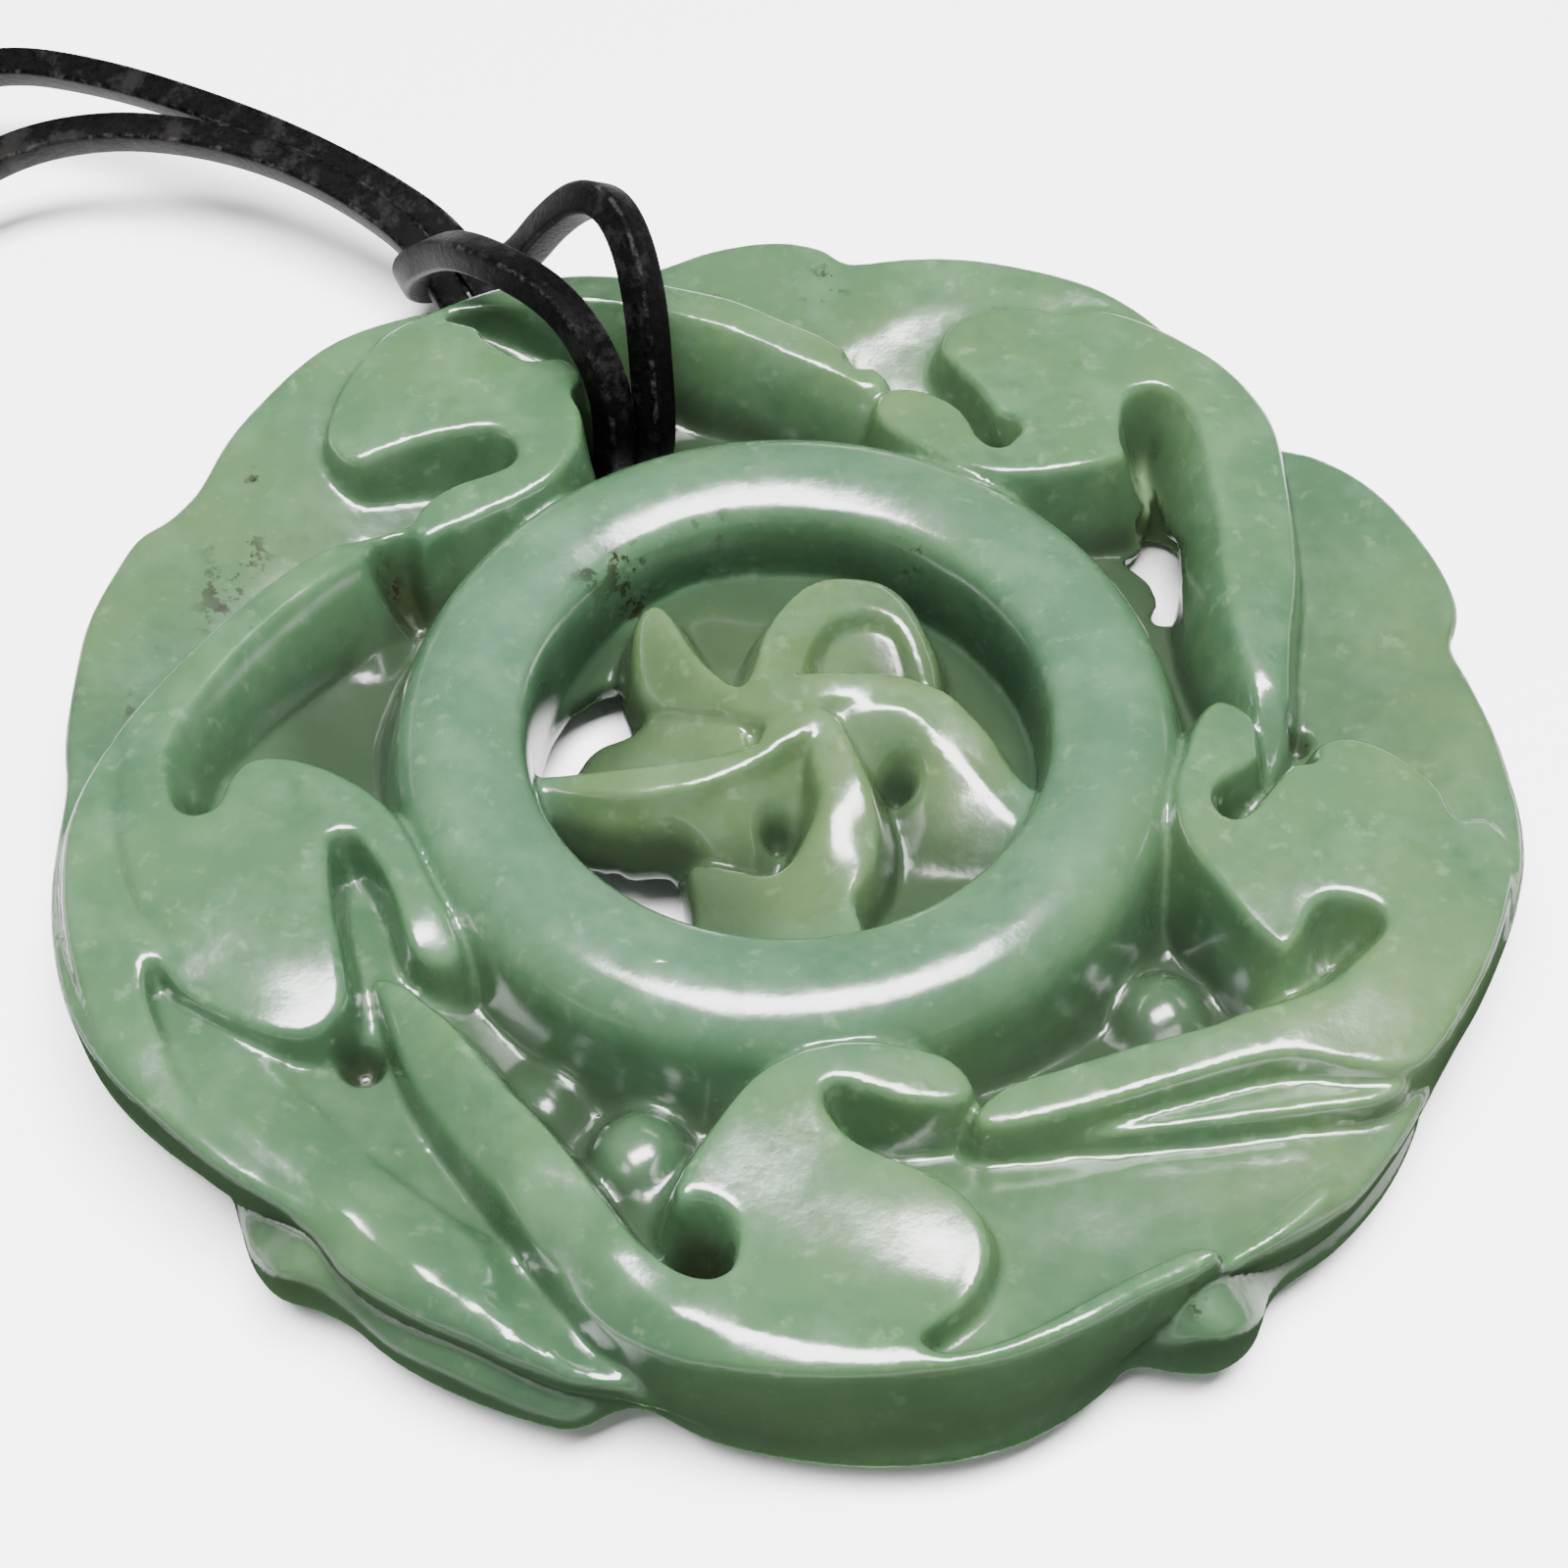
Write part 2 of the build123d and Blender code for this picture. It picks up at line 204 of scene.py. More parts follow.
SCROLL_1 = [
    (146.5, 20.9), (151.5, 22.1), (154, 23), (158, 23.7), (162.5, 24.5), (166.5, 25.3), (170, 26),
    (174, 26.9), (180, 28.3), (184, 29.3), (188, 30.2), (192, 30.8), (198, 31.2), (204, 31.4), (210, 31.5),
    (216, 31.2), (222, 30.7), (226, 30), (225, 29.6), (219, 29.5), (212, 29.2), (207.5, 28.9), (206, 28.3),
    (209, 27.9), (213, 27), (217, 25.9), (219.6, 24.8), (220.2, 23.6), (218.3, 22.3), (213, 21.4),
    (209, 21), (205, 20.6), (201, 20.2), (199.3, 19.8), (199.8, 19.1), (202, 18.8), (206, 18.55),
    (210, 18.6), (214, 18.9), (217.5, 19.2), (220, 19), (221.8, 18.4), (221.8, 17.8), (220, 17.3),
    (216, 17), (210, 16.9), (203, 16.9), (197, 17.3), (192, 18.3), (188.3, 19.8), (186.4, 21.5),
    (186.6, 22.9), (188.6, 23.6), (191.2, 24.2), (192.6, 25), (191.5, 25.8), (188.5, 26.2), (185.5, 26.3),
    (183, 26), (178, 25.2), (172, 24.1), (166, 23), (160, 22), (154, 21.1), (150, 20.4), (147.5, 20.3),
]
HEIGHTS_1 = [
    (150, 21.5, 7.6), (160, 22.9, 8.2), (160, 24, 8), (172, 24.9, 8.4), (172, 26.2, 8.1), (183, 27, 8.5),
    (184, 28.8, 8.1), (192, 27.5, 8.5), (193, 30.4, 7.9), (200, 30.2, 8), (205, 31.3, 7.4),
    (214, 31.4, 7.2), (212, 30, 7.7), (221, 30.8, 7), (200, 26, 8.7), (206, 26.5, 8.4), (196, 22, 8.7),
    (188, 21.8, 8.4), (205, 23.5, 8.7), (212, 24, 8.4), (217, 24.5, 7.9), (216, 26, 7.7), (210, 27.5, 7.6),
    (193, 18.6, 8.3), (200, 18, 8.4), (208, 18.1, 8.25), (215, 18.2, 8.1), (218, 18.3, 7.9),
    (221, 18.5, 7.2), (207, 21.2, 8.4), (200, 20.7, 8.5),
]
SCROLL_2 = [
    (216.5, 20.9), (222.2, 21.7), (226, 22.3), (231, 23.1), (237.5, 24), (243, 24.9), (247, 25.9),
    (250.6, 27), (254.5, 28.3), (258.3, 29.2), (262, 29.7), (267, 30), (273, 30.2), (279, 30.4),
    (285, 30.5), (291, 30.3), (296, 30), (300, 30.1), (302.3, 30), (302, 29.3), (299, 29), (294, 29.1),
    (289, 29.5), (284, 29.8), (280.8, 29.7), (279.6, 29.1), (281, 28.6), (284.2, 27.8), (286.5, 26.6),
    (287.3, 25.2), (286.2, 23.7), (283, 22.3), (279.5, 21.4), (276.6, 20.6), (274.6, 19.5), (274.4, 18.7),
    (276.4, 18.4), (279.5, 18.8), (283, 19.4), (287.4, 19.9), (290.8, 19.9), (291.9, 19.2), (290.6, 18),
    (286, 17.1), (280.6, 16.6), (275, 16.6), (270, 17), (265.6, 18.1), (262.3, 20), (260.2, 21.9),
    (259.6, 23.2), (260.8, 24), (263.2, 24.3), (265.2, 25), (265.4, 26), (263.7, 26.6), (261, 26.4),
    (257.5, 25.6), (254, 24.4), (250, 23.2), (246.3, 22.3), (240, 21.3), (235, 20.7), (229, 20.2),
    (224, 20.1), (219.5, 20.2),
]
HEIGHTS_2 = [
    (226, 20.9, 7.4), (236, 21.4, 8), (246, 22.9, 8.4), (254, 24.9, 8.6), (261, 26.9, 8.6),
    (265, 27.4, 8.6), (230.7, 21.6, 7.8), (245, 23.9, 8.5), (254.7, 26.6, 8.6), (261, 28.5, 8.6),
    (266, 29.3, 8.6), (230, 23.2, 6.6), (241, 24.4, 6.8), (250, 26.7, 7), (258, 29.2, 7.4), (264, 30, 8),
    (272, 30.3, 8.4), (282, 30.5, 8.5), (292, 30.1, 8.3), (300, 29.6, 7.9), (268, 27.5, 8.3),
    (275, 28.6, 8.2), (278, 29.2, 8.3), (272, 25, 8.1), (266, 24, 8.2), (262, 22.6, 8.4), (268, 21, 8.5),
    (276, 23, 8.3), (282, 23.4, 8.2), (285.5, 25.3, 8), (283, 27.5, 7.7), (279, 27, 8), (272, 19, 8.6),
    (270, 17.8, 8.5), (277, 17.4, 8.5), (284, 18.1, 8.3), (290, 19.1, 7.9), (278, 21.3, 8.2),
    (274, 20.3, 8.4),
]
SCROLL_3 = [
    (290.8, 20.4), (291, 21.2), (295, 21.8), (300, 22.4), (306, 23.1), (311, 23.9), (316, 25),
    (319.5, 26.3), (321.5, 28), (324.5, 29.9), (329, 30.6), (335, 30.9), (342, 31), (347, 30.8),
    (349.5, 30), (349.5, 29.2), (349, 28.6), (349.8, 28.2), (351.8, 27.8), (353.5, 27.1), (355, 26.3),
    (356.3, 25.5), (357.1, 24.7), (357.4, 23.9), (357, 23.2), (355.5, 22.4), (353.6, 21.7), (350.5, 21),
    (347.7, 20.5), (345.5, 20.1), (343.4, 19.6), (343.2, 19.1), (344.7, 18.6), (346.8, 18.4),
    (349.4, 18.8), (352.8, 20), (356.2, 20.1), (359.3, 20.1), (362, 19.6), (363.4, 18.7), (361.5, 17.9),
    (357.5, 17.3), (352.8, 17), (347.5, 16.7), (342, 17), (337.2, 17.9), (333.5, 19.4), (330.5, 21.2),
    (329, 22.6), (329, 23.3), (331, 23.6), (334, 23.6), (336.2, 24), (337, 25), (336.8, 26), (335, 26.5),
    (331.5, 26.1), (328, 25.6), (325.5, 25), (323, 24.3), (320, 23.4), (317, 22.8), (313, 21.9),
    (309, 21.2), (302, 20.4), (295, 19.9),
]
HEIGHTS_3 = [
    (292, 20.9, 7.6), (297, 20.8, 8), (306, 21.8, 8.2), (314, 23.4, 8.4), (322, 25.2, 8.6),
    (329, 26.8, 8.6), (291.5, 21.3, 7.5), (300, 21.9, 8.2), (308, 23, 8.3), (316, 24.9, 8.4),
    (322, 26.8, 8.4), (327, 28.4, 8.3), (325, 29.7, 8), (332, 30.2, 8.1), (342, 30.4, 8.2), (347, 30, 7.9),
    (334, 27.5, 8.6), (340, 28.3, 8.4), (335, 24.5, 8.5), (342, 25.5, 8.6), (349, 26.5, 8.4),
    (354, 25, 8.2), (350, 23, 8.4), (342, 22, 8.6), (335, 21.5, 8.5), (330, 22.8, 8.3), (341, 18.2, 8.5),
    (337, 19.5, 8.5), (347, 17.7, 8.4), (354, 18.4, 8.2), (361, 18.8, 7.9), (337, 26.5, 8.6),
]
SCROLL_4 = [
    (352, 20.8), (357, 21.5), (362, 21.9), (366, 22.1), (372, 22.8), (378, 24), (384, 25.3), (390, 26.7),
    (396, 28.4), (401, 29.4), (406, 29.9), (412, 30.1), (417, 30), (420, 29.4), (421.5, 28.6),
    (422.5, 28.2), (425, 28.1), (428, 27.5), (431, 26.4), (432.2, 25), (431.8, 23.8), (429, 22.8),
    (425, 21.8), (421, 20.6), (417.5, 19.5), (417.5, 18.7), (420, 18.6), (423, 19.4), (426.5, 20.4),
    (431, 20.9), (435.5, 20.8), (437.6, 19.8), (436.8, 18.5), (432, 17.5), (427, 16.9), (421, 16.6),
    (415, 16.9), (410, 17.9), (406.2, 19.4), (404.2, 20.9), (404, 21.8), (406.2, 22.5), (408, 23.4),
    (409, 24.6), (408.5, 25.9), (406, 26.3), (402.5, 25.8), (399, 24.8), (394, 23.4), (390, 22.6),
    (384, 21.3), (378, 20.5), (372, 20.1), (366, 20.2), (360, 20.3), (355, 20.3),
]
HEIGHTS_4 = [
    (353, 20.7, 4.9), (357, 20.9, 5.8), (361, 21, 6.8), (365, 21, 7.8), (370, 21.2, 8), (376, 21.7, 8.2),
    (384, 22.8, 8.4), (392, 24.4, 8.5), (399, 26.4, 8.6), (404, 28.2, 8.4), (411, 29.2, 8.1),
    (376, 23.2, 8), (386, 25.4, 8.1), (394, 27.5, 8.2), (409, 27.2, 8.5), (414, 28.2, 8.2), (412, 25, 8.5),
    (407, 21.8, 8.4), (410, 20.5, 8.6), (416, 22.5, 8.3), (420, 25.5, 8.3), (425, 26.8, 8), (430, 25, 7.9),
    (426, 23, 8), (420, 21.6, 7.9), (414, 18.4, 8.5), (420, 17.6, 8.3), (427, 18.2, 8.1), (435, 19.6, 7.8),
    (418, 29.2, 7.9),
]
SCROLL_5 = [
    (77, 21.3), (84, 23.2), (90, 24.5), (96, 26), (102, 27.3), (107, 28.8), (112, 29.8), (117, 30.5),
    (122, 30.9), (128, 31), (131, 30.6), (133, 30.1), (135.8, 29.5), (139.2, 28.5), (142.2, 27.4),
    (143.4, 26.2), (143.2, 25), (140.5, 24.3), (136, 23.3), (132.5, 22.5), (129.5, 21.7), (128.6, 20.8),
    (129.2, 19.9), (131, 19.5), (134, 19.7), (139, 20.5), (143.5, 20.8), (148, 20.4), (150, 19.9),
    (149.2, 19.5), (146.3, 19.1), (142, 18.3), (138.5, 17.9), (135, 17.5), (130, 17.3), (126.5, 17.5),
    (122, 18.3), (118.6, 19.8), (116.1, 21.5), (115.7, 22.8), (116.6, 24), (119.7, 24.5), (121.2, 25.3),
    (122.4, 27.2), (122.2, 28.2), (123.8, 29.9), (122, 29.9), (119, 29), (116, 28.2), (112, 27.2),
    (108, 26.2), (102, 24.6), (96, 23.2), (90, 21.8), (84, 20.9), (79, 20.2),
]
HEIGHTS_5 = [
    (79, 20.6, 7.9), (88, 22.2, 8.2), (96, 23.9, 8.5), (104, 25.6, 8.6), (112, 27.8, 8.5), (84, 22.7, 7.9),
    (92, 24.5, 8.1), (100, 26.4, 8.3), (108, 28.6, 8.2), (116, 30.1, 7.9), (124, 30.4, 7.7),
    (130, 30, 7.8), (130, 29, 8), (137, 28.4, 7.9), (126, 27, 8.4), (133, 26, 8.5), (140, 26.5, 8.2),
    (142.5, 25.4, 8), (120, 22.5, 8.4), (126, 24, 8.6), (133, 23.5, 8.4), (122, 20, 8.5), (128, 18.6, 8.4),
    (136, 18.8, 8.2), (143, 19.6, 8), (149, 20, 7.7),
]
FOLD_3 = [
    (294, 21.9), (300, 22.9), (306, 24.3), (312, 26), (317, 27.8), (321, 29.5), (324, 30), (323.5, 28.4),
    (321.5, 26.6), (317, 24.8), (311, 23.4), (304, 22.2), (297, 21.3),
]
FOLD_HEIGHTS_3 = [
    (296, 21.4, 6.3), (300, 22.3, 6.5), (304, 22.6, 6.6), (311, 23.8, 6.8), (317, 25.2, 6.9),
    (321.5, 27, 7), (297, 22, 6.6), (306, 24.1, 7.2), (312, 25.7, 7.3), (317, 27.4, 7.4), (321, 29, 7.4),
    (301, 23, 6.9),
]
SCROLLS = [
    (FOLD_3, FOLD_HEIGHTS_3),
    (SCROLL_1, HEIGHTS_1),
    (SCROLL_2, HEIGHTS_2),
    (SCROLL_3, HEIGHTS_3),
    (SCROLL_4, HEIGHTS_4),
    (SCROLL_5, HEIGHTS_5),
]

# Inner side of each stem, where it slopes gently down to the sunk ground
STEM_SLOPES = [
    [],
    [(150, 20.4), (160, 22), (172, 24.1), (183, 26), (188, 26.3)],
    [],
    [(324, 24.6), (331, 26.2)],
    [(358, 20.2), (366, 20.2), (372, 20.1), (378, 20.5), (390, 22.6), (402, 25.6)],
    [(79, 20.2), (90, 21.8), (102, 24.6), (112, 27.2)],
]

# Leaves and sunk ground between the scrolls
LEAF_HEIGHTS = [
    # ground beside the ring
    (0, 17.6, 3.8), (30, 17.6, 3.6), (60, 17.6, 3.8), (90, 18, 3.4), (120, 17.6, 3.9), (150, 17.6, 3.4),
    (180, 17.6, 3.6), (210, 17.6, 4.2), (240, 17.6, 3.4), (270, 17.6, 3.8), (300, 17.6, 3.4),
    (330, 17.6, 3.4),
    # floors of the pockets
    (175, 19.8, 3.4), (165, 19.2, 3.3), (247, 20, 3.2), (320, 20, 3.4), (388, 19.6, 3.4), (378, 18.8, 3.6),
    (96, 18.2, 4.3), (88, 18.2, 4.2), (98, 20.4, 3.2), (90, 20.2, 3.3), (102, 22.4, 3), (94, 22, 3.1),
    (104, 28.6, 6.2), (109, 29.8, 6.3), (98, 27, 6.2), (98, 25.4, 5.9), (104, 26.8, 6.1), (91, 24.6, 5.8),
    (110, 19.8, 3.6), (156, 18.4, 3), (84, 19, 3.4), (326, 22, 3.6), (334, 18.6, 3.4), (36, 18.4, 4),
    (41, 19.6, 3.4), (33, 20.6, 3.2), (38, 21.4, 3),
    # under the scrolls
    (200, 26, 5.5), (270, 25, 5.5), (340, 25, 5.5), (55, 25, 5.5), (130, 25, 5.5), (205, 19.7, 6.2),
    (210, 20, 6.3), (215, 20.3, 6.1), (220, 20.6, 5.7), (224, 21.6, 5.3),
    # leaf of scroll 1
    (222, 23.2, 5.2), (227, 24.2, 5.5), (232, 25.4, 5.7), (240, 26.8, 5.7), (248, 28, 5.6),
    (254, 29.4, 5.8), (216, 29, 7.1), (223, 28.8, 7.1), (229.5, 28.6, 6.9), (234, 28.6, 7), (241, 28.9, 7),
    (247, 29.3, 6.9), (253, 29.9, 6.7), (234, 29.9, 6.4), (241, 30.3, 6.3), (247, 30.4, 6.3),
    (253, 30.7, 6.2), (208, 30, 6.8), (196, 30.5, 6.4),
    # leaf of scroll 2
    (292, 22.9, 5.8), (299, 23.8, 6), (306, 25.4, 6.1), (312, 27.2, 6.2), (317, 29, 6.3), (304, 27.4, 6.1),
    (311, 29, 6.2), (296, 27, 6), (302, 29, 6.3), (310, 30, 6.3), (318, 30.9, 6.2), (323, 31.1, 6.2),
    (285, 30, 6.5), (270, 30, 6.3), (258, 30.6, 6.2),
    # leaf of scroll 3
    (346, 30.4, 7.8), (350, 29.6, 7.5), (354, 29.6, 7.1), (358, 29, 6.8), (350, 31, 7.3), (356, 30.8, 6.7),
    (359, 26.5, 6), (0, 24.5, 5.4), (6, 24.5, 5.5), (6, 29, 6.5), (14, 26.5, 6.1), (14, 30.5, 6.5),
    (22, 28.5, 6.4), (22, 31, 6.5), (30, 28.8, 6.3), (30, 31, 6.4), (36, 30.2, 6.2), (335, 30.6, 6.3),
    # leaf of scroll 4
    (421, 30.4, 7.9), (427, 30.4, 7.8), (433, 30.2, 7.6), (439, 30, 7.2), (427, 28.7, 7.5),
    (433, 27.9, 7.2), (438, 26.8, 6.9), (443, 25.8, 6.6), (432, 26.4, 6.6), (437, 25.2, 6.2),
    (441, 24, 5.85), (438, 22.6, 5.4), (84, 26.4, 6.1), (86, 30, 6.6), (92, 28, 6.3), (92, 31.3, 6.6),
    (98, 29.5, 6.3), (98, 31, 6.5), (104, 30, 6.2), (50, 30, 6.3),
    # leaf of scroll 5
    (134, 31, 7.6), (138, 30.2, 7.3), (142, 29.6, 7), (142, 31.2, 7.1), (146, 27.5, 6.4), (145, 25, 5.7),
    (148, 22.9, 5), (150, 27.5, 6.4), (156, 26, 6.1), (158, 29.5, 6.5), (164, 28, 6.3), (166, 31.5, 6.6),
    (174, 30, 6.4), (176, 31.5, 6.5), (182, 30.8, 6.3), (184, 31.3, 6.3), (122, 30.5, 6.3),
    (119, 27.2, 5.4), (121.5, 29, 6.4),
]

# Rim between the two faces' edges: radius of the upper and of the lower half
UPPER_EDGE = [
    (0, 30.9), (6, 30.4), (10, 30.2), (13, 31.1), (16, 31.5), (22, 31.6), (29, 31.3), (34, 30.5),
    (38, 29.6), (43, 30.1), (49, 30.8), (56, 31.2), (64, 31.1), (72, 30.9), (79, 30.5), (84, 30.3),
    (87, 31.3), (91, 31.8), (96, 31.6), (101, 31), (107, 30.5), (113, 31), (119, 31.8), (125, 32.1),
    (133, 32.3), (140, 32.2), (146, 31.9), (152, 31.2), (156, 31.4), (159, 32.1), (163, 32.2), (168, 32.2),
    (174, 31.8), (180, 31.5), (184, 31.2), (188, 31.3), (194, 31.7), (200, 32), (206, 32.1), (212, 31.8),
    (218, 31.1), (224, 30.5), (229, 29.9), (232, 29.9), (236, 30.3), (242, 30.4), (248, 30.4), (254, 30.5),
    (258, 30.2), (262, 30.5), (268, 31.1), (275, 31.6), (282, 31.8), (289, 31.5), (295, 30.8), (300, 30.6),
    (304, 30.4), (308, 30.7), (314, 31.1), (320, 31), (326, 30.8), (331, 30.8), (336, 31.1), (342, 31.4),
    (348, 31.5), (354, 31.3),
]
LOWER_EDGE = [
    (0, 31.2), (8, 30.8), (14, 31.4), (22, 31.5), (30, 31), (38, 30.4), (46, 31), (55, 31.4), (64, 31.2),
    (72, 30.8), (80, 30.6), (88, 31.3), (96, 31.2), (105, 30.6), (115, 31.2), (125, 31.8), (135, 31.8),
    (145, 31.4), (153, 31), (160, 31.6), (168, 31.6), (176, 31.4), (184, 31.4), (190, 31.7), (196, 32),
    (202, 32.2), (208, 31.9), (214, 31.1), (219, 30.3), (222, 30), (225, 30.6), (228, 31.3), (231, 31.5),
    (234, 31), (237, 30.8), (241, 31.1), (246, 31.2), (252, 31.2), (255, 31), (257.5, 30), (260, 29.6),
    (264, 30.4), (269, 31), (275, 31.5), (282, 31.8), (288, 31.6), (293, 30.9), (295.5, 30.4), (298, 31.2),
    (301, 32.1), (304, 32), (306.5, 31.2), (309, 30.9), (314, 31.2), (320, 31.2), (326, 30.8), (330, 30.2),
    (334, 30.6), (340, 31.2), (348, 31.5), (355, 31.4),
]

# Ring's profile: radius, height
RING = [
    (10, 6.6), (10.9, 7.6), (11.3, 8.18), (12, 8.5), (12.8, 8.8), (13.5, 8.97), (14.1, 9), (14.9, 8.88),
    (15.7, 8.55), (16.4, 7.95), (16.9, 7.1), (17.2, 6.1), (17.5, 5), (17.9, 4), (19, 2.5),
]
HOLE_RADIUS = 11.0

# Openings pierced through: one for the lace, and a slanting one, as an outline where it
# starts at the height of the scrolls' faces
LACE_OPENING = [
    (107.5, 18.6), (110, 17.9), (116, 17.8), (119, 18.6), (118.4, 20.4), (117.4, 22), (112, 22.6),
    (107.5, 21),
]
SLANTING = [
    (33.5, 19.6), (31.5, 20.3), (28.8, 20.4), (25, 19.6), (17.8, 18.3), (17, 17.7), (17.8, 17.2),
    (19.5, 17.2), (21.2, 17.7), (23.3, 18), (25.8, 18.1), (28.7, 17.9), (31.2, 17.7), (31, 18.3),
    (31.8, 19.1),
]

# Drilled pits: angle, radius, mouth radius, depth
PITS = [
    (222.5, 23.2, 0.8, 1.5), (262.3, 24.9, 1.25, 2.4), (190.5, 25, 0.9, 1.2), (407.3, 24.8, 0.9, 1),
    (354.8, 22, 0.6, 1.2), (345.8, 19.2, 0.7, 1.4), (420, 19.9, 0.9, 1.8), (151.6, 20.1, 1.1, 2.6),
    (149.5, 22.8, 0.6, 1), (441, 22.4, 0.7, 0.8), (2, 22.4, 0.6, 1),
]

# Lumps in the pockets: angle, radius, height, radius of the lump
BEADS = [
    (253, 20, 3.4, 2.1), (257, 22, 2.8, 1.7), (239, 19.3, 2.9, 1.6), (321.5, 19.8, 3, 2.1),
    (159, 20.7, 2.8, 1.5),
]

# Raised or cut lines: points (angle, radius), height, half width
LINES = [
    ([(194, 28.8), (198, 28.6), (203, 27.8), (206, 26.6)], -0.14, 0.3),
    ([(303, 24.6), (309, 26.2), (315, 28.2)], 0.09, 0.35),
    ([(242, 26.6), (246, 27.4)], 0.3, 0.5),
    ([(183, 28.5), (192, 28.6), (198, 28.5), (202, 28.3), (206, 27.6)], -0.25, 0.35),
    ([(303, 30.1), (308, 30.2), (313, 30.2)], 0.5, 0.5),
]

# Facets that fall outwards from a crisp line: points (angle, radius), width, slope
FACETS = [
    ([(230, 28.5), (234, 28.6), (240, 28.8), (246, 29.1), (252, 29.7), (256, 30.2)], 1.1, 0.42),
    ([(212, 29.1), (216, 28.9), (223, 28.6), (230, 28.4)], 0.6, 0.5),
]

# Facets along a scroll's outer crest: points (angle, radius), width, slope
CRESTS = [
    ([(246, 24.7), (252, 26.2), (258, 27.6), (264, 28.5), (270, 28.9), (276, 29.3), (284, 29.6),
      (292, 29.5)], 1.1, 0.3),
]

# Flower in the hole: outlines and heights in x, y, z mm
ARMS = [
    ([(-0.9, 1.6), (-1.5, 2), (-1.9, 1.5), (-2.4, 1.65), (-3.1, 2.4), (-3.9, 3.55), (-4.6, 4.9),
      (-5.2, 6.2), (-5.7, 6.9), (-6.3, 7), (-6.8, 6.5), (-7, 5.4), (-7, 4.2), (-6.8, 3), (-6, 1.9),
      (-4.6, 1.2), (-3.2, 0.6), (-1.8, -0.2), (-0.4, -0.6), (0.4, 0.4)],
     [(-1.2, 1.2, 8.6), (-2.6, 1.5, 8.35), (-3.6, 2.8, 8), (-4.6, 4.4, 7.7), (-5.6, 6.2, 7.3),
      (-6.4, 6.2, 7), (-6.9, 4.6, 6.3), (-6.5, 3, 6), (-5.4, 2.2, 6.5), (-4.4, 2, 7.1), (-3.2, 1.2, 7.7),
      (-5.4, 4.2, 7.1), (-2, 0.2, 8.1), (0, 0, 8.7)]),
    ([(-1.5, 2), (-1.25, 3.25), (-1, 4.4), (-0.5, 5.65), (0.25, 7), (1, 7.85), (1.9, 8.4), (3, 8.65),
      (4, 8.7), (4.8, 8.45), (5.6, 7.75), (6.1, 6.8), (6.5, 5.95), (6.9, 4.95), (7, 4.1), (6.9, 3.2),
      (5.9, 3.2), (5.6, 4.2), (5.4, 4.9), (5.2, 5.5), (4.9, 6.1), (4.2, 6.5), (3.4, 6.5), (2.5, 6.1),
      (1.75, 5.35), (1.25, 4.25), (1, 3.3), (0.85, 2.3), (0.6, 0.6), (-0.8, 0.6)],
     [(-0.3, 1, 8.7), (-0.2, 3, 8.4), (0.2, 4.8, 8.1), (1.2, 6.4, 7.7), (2.6, 7.3, 7.35), (4, 7.5, 7),
      (5.2, 6.9, 6.6), (6, 5.7, 6.2), (6.3, 4.2, 5.8)]),
    ([(0.2, 1.6), (1, 2), (2.5, 2.15), (4, 2.25), (5.2, 2.2), (6, 2), (6.9, 1.65), (7.6, 1.1), (8.4, 0.25),
      (9, -0.5), (9.4, -1.25), (10, -2.1), (11.4, -3.6), (11, -5.6), (9.6, -5), (9, -3.6), (8.4, -2.75),
      (7.7, -2.05), (7, -1.35), (6.4, -0.55), (5.7, -0.1), (4.9, 0.2), (4, 0.45), (3.1, 0.45), (2, 0.4),
      (0.6, -0.2)],
     [(0.5, 0.5, 8.7), (1.5, 1.2, 8.6), (3.2, 1.3, 8.4), (5, 1.2, 8.1), (6.6, 0.6, 7.75),
      (7.8, -0.5, 7.35), (8.8, -1.9, 6.9), (9.6, -3.3, 6.5)]),
    ([(1.2, 0.2), (2.1, -0.4), (2.5, -1.2), (3, -2.3), (3.4, -3.25), (3.7, -4.25), (3.9, -5.15),
      (3.85, -6.25), (3.6, -7.3), (3.2, -8.1), (2.8, -9), (2.6, -11.4), (-3.9, -11.2), (-4, -8.2),
      (-4.2, -6), (-2.3, -6.35), (-1.4, -6.7), (-0.7, -6.85), (0.05, -6.6), (0.65, -5.8), (1, -5.15),
      (1.2, -4.3), (1, -3.3), (0.85, -2.4), (0.9, -1.7), (0.4, -0.8)],
     [(0.8, -0.4, 8.7), (1.8, -1.8, 8.55), (2.2, -3.6, 8.35), (2.4, -5, 8.15), (2.4, -6.2, 7.75),
      (2.2, -7.4, 7.3), (2, -8.4, 7.1), (1.8, -9.6, 7), (1.6, -11, 6.95), (0.4, -7.6, 6.4),
      (-1, -7.8, 5.9), (-2.6, -7.4, 5.5), (-3.8, -7, 5.3), (-3.2, -9, 5.2), (-0.6, -9.4, 5.9),
      (0.2, -10.6, 6.2), (3.4, -6.2, 7.2)]),
    ([(-0.8, -0.4), (-1.3, -1.5), (-2, -1.8), (-3.25, -2), (-5.1, -2.05), (-7.3, -2), (-9.6, -1.95),
      (-11.6, -1.9), (-11.6, -3), (-10.2, -3.1), (-8.9, -3.4), (-6.6, -3.85), (-5.1, -3.85), (-3.6, -3.75),
      (-2.1, -3.25), (-0.8, -2.6), (0, -2), (0.9, -1.6), (1.2, -0.8), (0.6, 0.2)],
     [(0.2, -0.6, 8.7), (-1, -1.8, 8.4), (-2.8, -2.6, 8.1), (-4.6, -3, 7.75), (-6.6, -3, 7.3),
      (-8.8, -2.7, 6.8), (-10.6, -2.4, 6.4)]),
]
